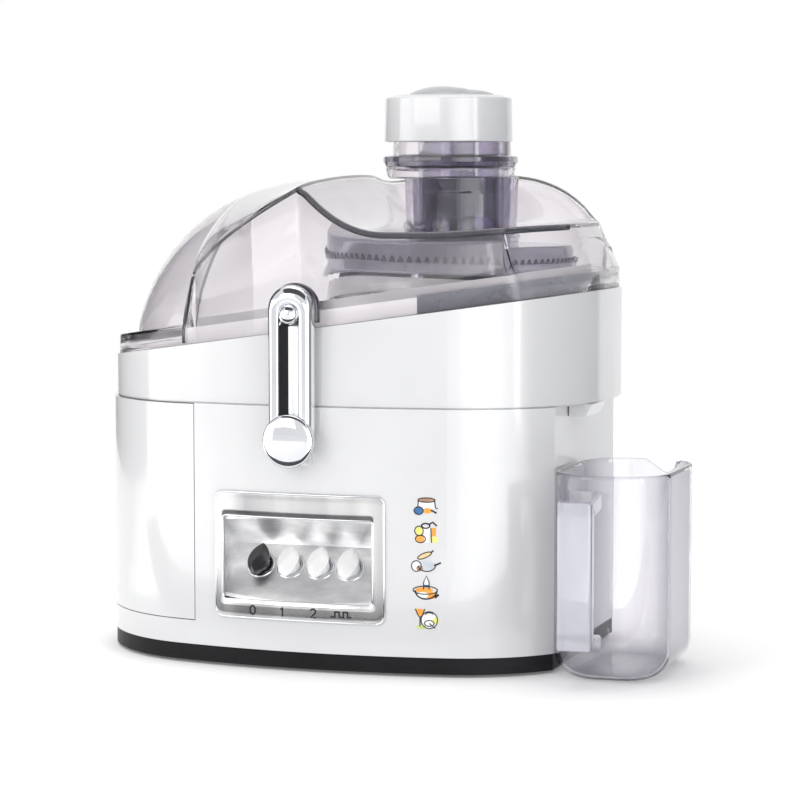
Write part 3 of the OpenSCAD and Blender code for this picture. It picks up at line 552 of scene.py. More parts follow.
# --- CAD nodes keep their shape and get their finish ---
SLOT_OF = {row["node"]: row["material_slot"] for row in frame["record"]["subparts"]}
for node_name, node_obj in NODES.items():
    node_obj.data.materials.clear()
    node_obj.data.materials.append(POCKET if node_name == "key_pocket" else MATS[SLOT_OF[node_name]])


# --- lid ---
def lid_columns():
    """X positions that follow the rim and the foot of the dome evenly, closer where the wall rises."""
    wing_foot = WING_X - WING_RUN
    xs = {wing_foot - 0.02, wing_foot + 0.02, WING_X, -5.0}
    for inset in (LID_INSET, LID_INSET + SHELF_LEFT, LID_INSET + SHELF_RIGHT):
        x, end = 0.0, HALF_L - inset
        while x < end - 0.01:
            for s in (-1, 1):
                if inset != LID_INSET + SHELF_RIGHT or s > 0:
                    xs.add(round(s * x, 3))
            slope = abs(half_width(x + 0.05, inset) - half_width(x, inset)) / 0.05
            x += max(0.04, 3.2 / math.hypot(1, slope))
        for s in (-1, 1):
            xs.add(s * (end - 0.002))
    for k in range(1, 8):
        xs.add(wing_foot + k)
    xs = sorted(xs)
    keep = [xs[0]]
    for x in xs[1:]:
        gap = 0.03 if abs(x - wing_foot) < 0.1 or abs(x) > 130 else 0.7
        if x - keep[-1] >= gap:
            keep.append(x)
    return keep


def lid_row(x, edge_in):
    """Y positions across the lid at x: rim to foot, across the dome, foot to rim."""
    rim = half_width(x, LID_INSET + edge_in)
    foot = min(rim, half_width(x, LID_INSET + shelf(x)))
    ys = [-mix(rim, foot, t) for t in (0, 0.15, 0.4, 0.7, 1)]
    inner = 72
    ys += [-foot * math.cos(math.pi * k / inner) for k in range(1, inner)]
    ys += [mix(foot, rim, t) for t in (0, 0.3, 0.6, 0.85, 1)]
    return ys


def build_lid():
    """The clear shell: a skin with a hole for the chute and an upright flange, given its thickness."""
    edge_in, hole_reach = 0.6, CHUTE_R + 1.2
    rows = []
    for x in lid_columns():
        row = []
        for y in lid_row(x, edge_in):
            px, py = x, y
            d = Vector((px - CHUTE_X, py))
            if d.length < hole_reach:
                d = d.normalized() * (CHUTE_R + 0.05) if d.length > 1e-6 else Vector((CHUTE_R, 0))
                px, py = CHUTE_X + d.x, d.y
            row.append((px, py, lid_z(px, py), math.hypot(x - CHUTE_X, y) < hole_reach))
        rows.append(row)
    n = len(rows[0])
    verts = [at(*v[:3]) for row in rows for v in row]
    hole = [v[3] for row in rows for v in row]
    faces = []
    for i in range(len(rows) - 1):
        for k in range(n - 1):
            quad = (i * n + k, (i + 1) * n + k, (i + 1) * n + k + 1, i * n + k + 1)
            if not all(hole[q] for q in quad):
                faces.append(quad)
    loop = [i * n for i in range(len(rows))] + [i * n + n - 1 for i in range(len(rows) - 1, -1, -1)]
    base = len(verts)
    for upper in (True, False):
        for q in loop:
            i, k = divmod(q, n)
            side = -1 if k == 0 else 1
            x = rows[i][0][0]
            z = flange_z(x) - FLANGE_H + 0.2
            if upper:
                z = lid_z(x, half_width(x, LID_INSET + edge_in) * side) - 0.7
            verts.append(at(x, half_width(x, LID_INSET) * side, z))
    m = len(loop)
    for k in range(m):
        j = (k + 1) % m
        faces.append((loop[k], loop[j], base + j, base + k))
        faces.append((base + k, base + j, base + m + j, base + m + k))
    lid = piece("lid_clear", verts, faces, MATS["smoke_clear"], "lid", "smoke_clear", ("lid_dome",),
                weld=0.00004)
    bm = bmesh.new()
    bm.from_mesh(lid.data)
    top = max(bm.faces, key=lambda f: f.calc_center_median().z)
    if top.normal.z < 0:
        bmesh.ops.reverse_faces(bm, faces=bm.faces)
    bm.to_mesh(lid.data)
    bm.free()
    thicken(lid, LID_T * MM)


build_lid()


def rim_path(x0, x1, side, inset, lift, step=2.0):
    """Points along the top edge of the upright wall, following it inwards where the wall leans."""
    path = []
    count = max(2, int(abs(x1 - x0) / step))
    for k in range(count + 1):
        x = mix(x0, x1, k / count)
        lean_in = max(0.0, (deck(x) - flange_z(x) - lean_free(x)) / LEAN) if x > LEAN_X else 0.0
        edge = side * half_width(x, LID_INSET + 0.6 + lean_in)
        path.append(at(x, side * half_width(x, inset + lean_in), lid_z(x, edge) + lift))
    return path


def wing_post():
    """Left edge of the front wall: up through the flange, then along the rise to the wing."""
    foot, inset, steps = WING_X - WING_RUN, LID_INSET + 1.0, 20
    path = [at(foot, -half_width(foot, inset), flange_z(foot) - FLANGE_H + z) for z in (1.2, 4, 7, 10)]
    for k in range(1, steps + 1):
        x = foot + WING_RUN * k / steps
        path.append(at(x, -half_width(x, inset), wing(x) - 0.9))
    return path


# Thick edge of the scoop, from the peak down to the deck and on to the right end. These dark tubes along
# the clear lid's edges are painted shade for the dark lines that refraction draws at thick clear edges.
tube("lid_scoop_edge", rim_path(-5.0, 127.5, -1, LID_INSET + 1.9, -1.9, 1.5), 1.8, CLEAR_EDGE_SHADE, "lid",
     slot="smoke_clear")
tube("lid_wing_edge", rim_path(WING_X, -4.5, -1, LID_INSET + 1.2, -1.2), 0.8, DEEP, "lid",
     slot="smoke_clear")
tube("lid_wing_post", wing_post(), 0.9, CLEAR_EDGE_SHADE, "lid", slot="smoke_clear")


def half_length(y, inset=0.0):
    """Half length of the oval at y, moved inwards by inset."""
    ay = abs(y)
    if ay <= CORNER_Y * (END_R - inset) / (END_R - CORNER_R):
        return END_C + math.sqrt((END_R - inset) ** 2 - ay * ay)
    return CORNER_X + math.sqrt(max(0.0, (CORNER_R - inset) ** 2 - (ay - CORNER_Y) ** 2))


def lid_shade_band():
    """A thin grey band inside the right end of the lid, from the front round to the rear: painted shade
    that stands in for the dull reflection on the lid's flange there.
    """
    start, turn, steps = 61, 120, 40
    outer = LID_INSET + LID_T + 0.1
    section = ((outer, 0.8), (outer, 10.4), (outer + 0.6, 10.4), (outer + 0.6, 0.8))

    def along(x, side):
        return [at(x, side * half_width(x, inset), flange_z(x) - FLANGE_H + z) for inset, z in section]

    def across(t):
        ring = []
        for inset, z in section:
            y = t * half_width(turn, inset)
            x = half_length(y, inset)
            ring.append(at(x, y, flange_z(x) - FLANGE_H + z))
        return ring

    rings = [along(x, -1) for x in range(start, turn, 2)]
    rings += [across(mix(-1, 1, k / steps)) for k in range(steps + 1)]
    rings += [along(x, 1) for x in range(turn - 1, start - 1, -2)]
    lofted("lid_shade_band", rings, FLANGE_SHADE, "lid", "smoke_clear", sharp=40)


lid_shade_band()


def lip_painted_glow(side):
    """Brighter white face on the collector's lip, seen through the flange of the lid, with a faint glow:
    painted light that lifts the lip where the lid's glass shades it.
    """
    rings = []
    for x in range(-75, 62, 2):
        ring = [at(x, side * half_width(x, inset), flange_z(x) - FLANGE_H + z)
                for inset, z in ((6.0, 0.6), (6.0, 9.6), (6.5, 9.6), (6.5, 0.6))]
        rings.append(ring)
    name = "lip_painted_glow_front" if side < 0 else "lip_painted_glow_rear"
    lofted(name, rings, LIP, "collector", "white_shell", sharp=40)


lip_painted_glow(-1)
lip_painted_glow(1)

# --- inner cover with its row of notches ---
COVER_FOOT, COVER_TOP, COVER_T = 218.4, 234.0, 2.0
lathe("cover_clear", [(CHUTE_R + 0.3, COVER_TOP - COVER_T), (BOWL_R - COVER_T, COVER_TOP - COVER_T),
                      (BOWL_R - COVER_T, COVER_FOOT), (BOWL_R, COVER_FOOT), (BOWL_R, COVER_TOP),
                      (CHUTE_R + 0.3, COVER_TOP)], [0, 2, 0.3, 0.3, 3, 0], AXIS_X, COVER, "lid", n=160,
      slot="smoke_clear", replaces=("basket_cover",))


def notches():
    """A row of small wedges round the side of the cover."""
    verts, faces = [], []
    count = 96
    w = 2 * math.pi / count * 0.36
    for i in range(count):
        a = 2 * math.pi * i / count
        base = len(verts)
        for r in (BOWL_R - 0.4, BOWL_R + 0.8):
            for da, z in ((-w, 222.4), (w, 222.4), (0, 225.2)):
                verts.append(at(AXIS_X + r * math.cos(a + da), r * math.sin(a + da), z))
        faces += [(base, base + 1, base + 2), (base + 5, base + 4, base + 3)]
        faces += [(base + k, base + (k + 1) % 3, base + 3 + (k + 1) % 3, base + 3 + k) for k in range(3)]
    piece("cover_notches", verts, faces, DEEP, "lid", "smoke_clear", flat=True, weld=1e-7)


notches()

# --- feed chute, pusher and its cap ---
# Heights from the foot of the chute to the rim of the cap; the neck and the cap are a little oblong.
CHUTE_FOOT, THROAT_Z, COLLAR_FOOT, COLLAR_TOP, MOUTH_TOP = 186.0, 270.2, 276.0, 282.6, 290.3
PUSHER_FOOT, PUSHER_TOP, PUSHER_R, PUSHER_T = 192.0, 290.4, 24.4, 2.2
CAP_X, CAP_FOOT, CAP_TOP = 48.4, 290.6, 316.3
NECK_X, NECK_BORE, OBLONG = 49.7, 30.2, 4.0
lathe("chute_tube", [(CHUTE_BORE, CHUTE_FOOT), (CHUTE_R, CHUTE_FOOT), (CHUTE_R, 262), (32, THROAT_Z),
                     (CHUTE_BORE + 4, THROAT_Z), (CHUTE_BORE, 264)], [0.4, 0.4, 4, 0.3, 0.3, 3],
      CHUTE_X, CHUTE, "lid", slot="smoke_clear", replaces=("feed_chute",))
lathe("chute_collar", [(NECK_BORE, COLLAR_FOOT), (33.6, COLLAR_FOOT), (35, 279.2), (35, COLLAR_TOP),
                       (NECK_BORE, COLLAR_TOP)], [0.3, 1.5, 1.2, 1.2, 0.3], NECK_X, DEEP, "lid",
      stretch=OBLONG, slot="smoke_clear")
lathe("chute_flare", [(NECK_BORE, THROAT_Z + 0.2), (31.6, THROAT_Z + 0.2), (33.0, COLLAR_FOOT - 0.1),
                      (NECK_BORE, COLLAR_FOOT - 0.1)], [0.3, 0.8, 0.5, 0.3], NECK_X,
      MATS["smoke_clear"], "lid", stretch=OBLONG, slot="smoke_clear")
lathe("chute_mouth", [(27.2, COLLAR_TOP + 0.1), (29.5, COLLAR_TOP + 0.1), (29.5, MOUTH_TOP),
                      (27.2, MOUTH_TOP)], [0.3, 0.3, 0.6, 0.6], NECK_X + 0.8, MATS["smoke_clear"],
      "lid", stretch=OBLONG, slot="smoke_clear")
lathe("pusher_tube", [(0, PUSHER_FOOT), (PUSHER_R, PUSHER_FOOT), (PUSHER_R, PUSHER_TOP),
                      (PUSHER_R - PUSHER_T, PUSHER_TOP), (PUSHER_R - PUSHER_T, PUSHER_FOOT + PUSHER_T),
                      (0, PUSHER_FOOT + PUSHER_T)], [0, 2.5, 0.3, 0.3, 2, 0], CHUTE_X, CHUTE,
      "pusher", n=112, slot="smoke_clear", replaces=("pusher_body",))


def pusher_ribs():
    """Upright ribs inside the pusher, as a cross of thin plates."""
    z0, z1 = PUSHER_FOOT + PUSHER_T + 0.2, PUSHER_TOP - 0.2
    for i in range(4):
        a = math.radians(35 + 90 * i)
        c, s = math.cos(a), math.sin(a)
        plan = ((1.2, -0.7), (22.0, -0.7), (22.0, 0.7), (1.2, 0.7))
        rings = [[at(CHUTE_X + u * c - v * s, u * s + v * c, z) for u, v in plan] for z in (z0, z1)]
        lofted("pusher_rib_%d" % i, rings, RIBS, "pusher", "smoke_clear", flat=True)


pusher_ribs()
lathe("pusher_cap_gloss", [(0, CAP_FOOT), (32.6, CAP_FOOT), (33, CAP_TOP), (27.4, CAP_TOP),
                           (27, CAP_TOP - 0.7), (0, CAP_TOP - 0.7)], [0, 0.8, 1.6, 0.4, 0.3, 0], CAP_X,
      MATS["white_shell"], "pusher", stretch=OBLONG, slot="white_shell", replaces=("pusher_cap",))


def cap_swirl():
    """Shallow dome with a main hump and a smaller one beside it, coloured grey as painted shade on the
    cap's white top.
    """
    rings, n, steps, radius, highest = [], 96, 24, 27, 322.55
    for i in range(steps + 1):
        t = 1 - i / steps
        ring = []
        for k in range(n):
            a = 2 * math.pi * k / n
            x = (radius + OBLONG * abs(math.cos(a))) * t * math.cos(a)
            y = radius * t * math.sin(a)
            main = max(0.0, 1 - ((x + 3.5) ** 2 + y * y) / 20.5 ** 2) ** 0.75 * 5.6
            side = max(0.0, 1 - ((x - 17) ** 2 + (y * 0.8) ** 2) / 11.5 ** 2) ** 0.8 * 3.2
            z = CAP_TOP - 0.5 + max(main, side) + 0.25 * min(main, side) + 0.9 * (1 - t ** 4)
            ring.append(at(CAP_X + x, y, min(z, highest)))
        rings.append(ring)
    lofted("pusher_cap_swirl", rings, MATS["grey_cap"], "pusher", "grey_cap", ("pusher_cap_dome",),
           caps=(True, False))


cap_swirl()


# --- jug ---
JUG_X0, JUG_Y0 = 131.4, -91.0
JUG_W, JUG_D, JUG_H = 63.5, 101.0, 112.0
JUG_CORNER, JUG_FOOT, JUG_T = 26.0, 15.0, 2.2
LIP_X, LIP_HALF, LIP_DIP, LIP_RUN = JUG_X0 + 44, 12.0, 8.0, 14.0


def jug_ring(z, inset):
    """Outline of the jug at a height; near the rim its rear side dips for the pouring lip."""
    pts = rounded(JUG_W - 2 * inset, JUG_D - 2 * inset, max(0.5, JUG_CORNER - inset),
                  JUG_X0 + JUG_W / 2, JUG_Y0 + JUG_D / 2, per=16, edge=14)
    ring = []
    for x, y in pts:
        dip = 0.0
        if z > JUG_H - LIP_RUN and y > JUG_Y0 + JUG_D - 6:
            v = max(0.0, 1 - abs(x - LIP_X) / LIP_HALF)
            dip = LIP_DIP * v * smooth((z - (JUG_H - LIP_RUN)) / LIP_RUN)
        ring.append(at(x, y, z - dip))
    return ring


def build_jug():
    """Rounded foot, wall and rim outside, then the same back down inside."""
    levels, bend, turn = (30, 50, 70, 90, 98, 102, 106, 109), JUG_FOOT - JUG_T, quarter_turn(10)
    rings = [jug_ring(JUG_FOOT * (1 - math.cos(a)), JUG_FOOT * (1 - math.sin(a))) for a in turn]
    rings += [jug_ring(z, 0.0) for z in levels + (JUG_H - 0.7,)]
    rings += [jug_ring(JUG_H, 0.6), jug_ring(JUG_H, JUG_T - 0.5), jug_ring(JUG_H - 0.6, JUG_T)]
    rings += [jug_ring(z, JUG_T) for z in reversed(levels)]
    for a in reversed(turn):
        rings.append(jug_ring(JUG_FOOT - bend * math.cos(a), JUG_T + bend * (1 - math.sin(a))))
    lofted("jug_clear", rings, JUG_CLEAR, "jug", "smoke_clear", ("jug",))


build_jug()


def jug_handle():
    """C-shaped grip bar with a rounded section, joined to the wall at both ends."""
    x0, x1, z0, z1, wall, out, bar = 144.0, 163.0, 17.0, 104.0, -90.6, -117.0, 10.0
    outer = [(wall, z0), (out, z0), (out, z1), (wall, z1)]
    inner = [(wall, z0 + bar), (out + bar, z0 + bar), (out + bar, z1 - bar), (wall, z1 - bar)]
    side = fillet(outer + inner[::-1], [0, 5, 5, 0, 0, 3, 3, 0])
    ahead = side[1:] + side[:1]
    behind = side[-1:] + side[:-1]
    area = sum(p[0] * q[1] - q[0] * p[1] for p, q in zip(side, ahead))
    inwards = 1 if area > 0 else -1
    normals = []
    for p, q in zip(behind, ahead):
        d = (Vector(q) - Vector(p)).normalized()
        normals.append(Vector((-d.y, d.x)) * inwards)
    cut, turn = 1.8, quarter_turn(5)
    sections = [(x0 + cut * (1 - math.cos(a)), cut * (1 - math.sin(a))) for a in turn]
    sections += [(x1 - cut * (1 - math.cos(a)), cut * (1 - math.sin(a))) for a in reversed(turn)]
    rings = []
    for x, inset in sections:
        ring = []
        for (y, z), normal in zip(side, normals):
            free = 0.0 if y > -92 else 1.0
            ring.append(at(x, y + normal.x * inset * free, z + normal.y * inset))
        rings.append(ring)
    lofted("jug_grip", rings, GRIP, "jug", "smoke_clear")


jug_handle()


# --- clamps ---
CLAMP_X, PIVOT_Y, PIVOT_Z = -5.0, 113.5, 118.0
ARCH_Z, BOSS_Z, KNOB_Z = 81.6, 78.6, 10.0
CHANNEL_FOOT, CHANNEL_TOP = 14.0, 72.4


def clamp_at(side, x, y, z):
    """Local clamp point: -y away from the body, z up from the pivot."""
    return at(CLAMP_X - side * x, side * PIVOT_Y - side * y, PIVOT_Z + z)


def arch(r, z_centre, foot, n=32, steps=10):
    """Round top, straight sides and a flat foot."""
    pts = [(r * math.cos(math.pi * k / n), z_centre + r * math.sin(math.pi * k / n)) for k in range(n + 1)]
    pts += [(-r, mix(z_centre, foot, k / steps)) for k in range(1, steps + 1)]
    return pts + [(r, mix(foot, z_centre, k / steps)) for k in range(0, steps)]


def clamp_part(name, side, body, rings, mat, slot, replaces=(), **kw):
    """Rings of local (x, z) points with their local y, lofted in order."""
    placed = [[clamp_at(side, x, y, z) for x, z in pts] for pts, y in rings]
    lofted(name, placed, mat, body, slot, replaces, **kw)


def round_rings(profile, z_centre, n):
    """Circles of the radii and local y of a profile."""
    turn = full_turn(n)
    return [([(r * math.cos(a), z_centre + r * math.sin(a)) for a in turn], y) for r, y in profile]


def strip(x0, x1, z0, z1, r=0.8):
    return rounded(x1 - x0, z1 - z0, r, (x0 + x1) / 2, (z0 + z1) / 2, per=4)


def clamp_arm(name, side, body, chrome):
    """Arm with a deep back, a rounded shoulder, a raised rim and a channel inside it."""
    section = [(0.8, 0.0, 4.8), (0.0, 0.0, 4.0), (0.0, 0.0, 1.0), (0.2, 0.2, -0.6), (0.7, 0.8, -1.9),
               (1.4, 1.7, -2.9), (2.2, 2.6, -3.5), (2.8, 3.1, -3.8), (3.2, 3.1, -3.9), (6.3, 3.1, -3.9),
               (6.9, 3.1, -3.6), (7.2, 3.1, -3.0), (7.3, 3.1, -1.4)]
    rings = [(arch(13.0 - i, ARCH_Z - d, 10.0 + min(i, 2.0)), y) for i, d, y in section]
    clamp_part(name + "_arm_chrome", side, body, rings, chrome, "mirror_chrome", (name + "_clamp_arm",))


def clamp_channel(name, side, body, chrome):
    """Painted reflection of a chrome bar in the channel: a black strip for its dark reflection, a white
    strip beside it for its bright reflection, and a thin chrome line on the white strip.
    """
    # black strip: the chrome bar's painted dark reflection
    dark_reflection = strip(-5.7, -0.5, CHANNEL_FOOT, CHANNEL_TOP)
    clamp_part(name + "_channel_painted_dark_reflection", side, body, [(dark_reflection, -1.3), (dark_reflection, -2.2)],
               MATS["black_plastic"], "black_plastic", sharp=30)
    # white strip: the chrome bar's painted bright reflection
    rings = [(strip(-0.3 + i, 5.5 - i, CHANNEL_FOOT, CHANNEL_TOP - i), y)
             for i, y in ((0, -1.3), (0, -2.6), (0.3, -3.0), (0.9, -3.2))]
    clamp_part(name + "_channel_painted_bright_reflection", side, body, rings, MATS["white_key"], "white_key")
    rings = [(strip(1.9 + i, 2.5 - i, CHANNEL_FOOT + 1, CHANNEL_TOP - 0.4 - i, 0.1), y)
             for i, y in ((0, -3.0), (0, -3.34), (0.1, -3.38))]
    clamp_part(name + "_channel_line", side, body, rings, chrome, "mirror_chrome")


def clamp_rounds(name, side, body, chrome):
    """Small boss at the top and large knob over the pivot."""
    boss = [(5.6, -1.3), (5.8, -2.6), (5.6, -3.6), (4.9, -4.8), (3.8, -5.7), (2.2, -6.4), (0.7, -6.65),
            (0.0, -6.7)]
    clamp_part(name + "_boss", side, body, round_rings(boss, BOSS_Z, 48), chrome, "mirror_chrome",
               caps=(True, False))
    knob = [(12.0, -1.0), (12.0, -2.0), (14.1, -2.4), (14.8, -3.2), (14.8, -4.6), (14.5, -5.4),
            (13.8, -6.1), (12.4, -6.6), (10.0, -7.05), (7.0, -7.35), (3.5, -7.55), (0.6, -7.6), (0.0, -7.6)]
    clamp_part(name + "_knob_chrome", side, body, round_rings(knob, KNOB_Z, 80), chrome, "mirror_chrome",
               (name + "_clamp_knob",), caps=(True, False))


def lid_catch(name, side):
    """Catch on the lid behind the nose of the clamp, its clear plastic painted near-black as shade like the
    lid's edges.
    """
    rings = [(arch(13.8 - i, ARCH_Z, 74.0 + i), y)
             for i, y in ((1.0, 5.0), (0.3, 5.3), (0, 6.0), (0, 9.0), (0.4, 9.6))]
    clamp_part(name + "_catch", side, "lid", rings, CLEAR_EDGE_SHADE, "smoke_clear")


for clamp_name, clamp_side in (("front", -1), ("rear", 1)):
    for build in (clamp_arm, clamp_channel, clamp_rounds):
        build(clamp_name, clamp_side, clamp_name + "_clamp", MATS["mirror_chrome"])
    lid_catch(clamp_name, clamp_side)


# --- control panel ---
# X span, Z span and corner radius
PANEL = (-54.3, 45.7), (27.6, 98.3), 5.0
WINDOW = (-49.0, 38.2), (38.4, 84.0), 1.5


def skin(x, z, proud):
    """A point on the front of the body, proud of the shell."""
    return at(x, -half_width(x, -proud), z)


def frame_outline(frame_size, inset):
    x, z, r = frame_size
    return rounded(x[1] - x[0] - 2 * inset, z[1] - z[0] - 2 * inset, max(0.4, r - inset),
                   (x[0] + x[1]) / 2, (z[0] + z[1]) / 2, per=6, edge=30)


def frame_rings(frame_size, steps):
    """Rounded frames on the front skin, each with its inset and how proud it stands."""
    return [[skin(x, z, proud) for x, z in frame_outline(frame_size, inset)] for inset, proud in steps]


def build_panel():
    """Silver plate with its window, and a bright trim round each edge."""
    outer = frame_rings(PANEL, ((0, -0.8), (0, 0.35), (0.35, 0.75), (0.9, 0.9)))
    across = list(zip(frame_outline(PANEL, 0.9), frame_outline(WINDOW, -0.6)))
    mids = [[skin(mix(p[0], q[0], t), mix(p[1], q[1], t), 0.9) for p, q in across] for t in (0.33, 0.66, 1)]
    inner = frame_rings(WINDOW, ((0, 0.4), (0, -1.4)))
    lofted("panel_plate", outer + mids + inner, MATS["silver_panel"], "base", "silver_panel",
           ("control_panel",), loop=True, sharp=50)
    trims = {"panel_trim": (PANEL, ((-0.1, 0.1), (-0.1, 0.7), (0.35, 1.15), (0.95, 1.15), (1.3, 0.7))),
             "window_trim": (WINDOW, ((-1.1, 0.7), (-0.9, 1.1), (-0.2, 1.1), (0.1, 0.6), (0.1, -0.9)))}
    for name, (frame_size, steps) in trims.items():
        lofted(name, frame_rings(frame_size, steps), MATS["mirror_chrome"], "base", "mirror_chrome",
               loop=True)


build_panel()


# --- printed marks ---
def ribbon(points, width, closed):
    """Left and right edges of a flat line of even width through (x, z) points."""
    n = len(points)
    left, right = [], []
    for i in range(n):
        a = Vector(points[i - 1] if closed or i else points[i])
        b = Vector(points[(i + 1) % n] if closed or i < n - 1 else points[i])
        d = (b - a).normalized()
        nv = Vector((-d.y, d.x)) * width / 2
        p = Vector(points[i])
        left.append(tuple(p + nv))
        right.append(tuple(p - nv))
    return left, right


def printed(name, strokes, fills, proud, mats):
    """Flat marks on the front skin. strokes: (points, width, closed); fills: (points, ink, lift)."""
    stroke_lift = 0.14
    verts, faces, index = [], [], []
    for pts, ink, lift in fills:
        base = len(verts)
        verts += [skin(x, z, proud + lift) for x, z in pts]
        faces.append(tuple(range(base, base + len(pts))))
        index.append(ink)
    for pts, width, closed in strokes:
        left, right = ribbon(pts, width, closed)
        base, n = len(verts), len(left)
        verts += [skin(x, z, proud + stroke_lift) for x, z in left + right]
        for k in range(n if closed else n - 1):
            j = (k + 1) % n
            faces.append((base + k, base + j, base + n + j, base + n + k))
            index.append(0)
    mesh = bpy.data.meshes.new(name)
    mesh.from_pydata([tuple(v) for v in verts], [], faces)
    for mat in mats:
        mesh.materials.append(mat)
    for f, i in zip(mesh.polygons, index):
        f.material_index = i
    bm = bmesh.new()
    bm.from_mesh(mesh)
    for f in bm.faces:
        f.normal_update()
        if f.normal.y > 0:
            f.normal_flip()
    bm.to_mesh(mesh)
    bm.free()
    obj = bpy.data.objects.new(name, mesh)
    scene.collection.objects.link(obj)
    thicken(obj, 0.0001)
    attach(obj, "base")


def arc(cx, cz, rx, rz, a0=0, a1=360, n=28, tilt=0.0):
    """Points along an ellipse or a stretch of one, turned by tilt; angles in degrees."""
    full = a1 - a0 >= 360
    pts = []
    for k in range(n if full else n + 1):
        a = math.radians(a0 + (a1 - a0) * k / n)
        x, z = rx * math.cos(a), rz * math.sin(a)
        c, s = math.cos(math.radians(tilt)), math.sin(math.radians(tilt))
        pts.append((cx + x * c - z * s, cz + x * s + z * c))
    return pts


def key_labels():
    """0, 1, 2 and a pulse wave under the four keys."""
    z, w = 32.7, 0.85
    digits = [(arc(-31.0, z, 1.6, 2.4), w, True),
              ([(-14.3, z + 1.2), (-13.0, z + 2.5), (-13.0, z - 2.6)], w, False),
              (arc(5.0, z + 1.0, 1.45, 1.45, 160, -35, 12) + [(3.5, z - 2.3), (6.7, z - 2.3)], w, False)]
    low, high = z - 1.3, z + 1.5
    pulse = [(15.6, low), (17.6, low), (17.6, high), (20.0, high), (20.0, low), (22.4, low), (22.4, high),
             (24.8, high), (24.8, low), (26.6, low)]
    wave = []
    for a, b in zip(pulse, pulse[1:]):
        dx, dz = b[0] - a[0], b[1] - a[1]
        length = math.hypot(dx, dz)
        ux, uz = dx / length * w / 2, dz / length * w / 2
        wave.append(([(a[0] - ux, a[1] - uz), (b[0] + ux, b[1] + uz)], w, False))
    printed("key_labels", digits + wave, [], 0.9, [PRINT_DARK])


key_labels()

INKS = [PRINT_DARK, *PRINTS]
ORANGE, YELLOW, BLUE, BROWN, TAN, GREY, WHITE, GREEN = range(1, 9)


def picture(name, cx, cz, fills, strokes):
    """One pictogram about (cx, cz), its fills stacked a hair apart."""
    def moved(pts):
        return [(cx + x, cz + z) for x, z in pts]

    stacked = [(moved(pts), ink, 0.04 + 0.012 * i) for i, (pts, ink) in enumerate(fills)]
    lines = [(moved(pts), width, closed) for pts, width, closed in strokes]
    printed(name, lines, stacked, 0.0, INKS)


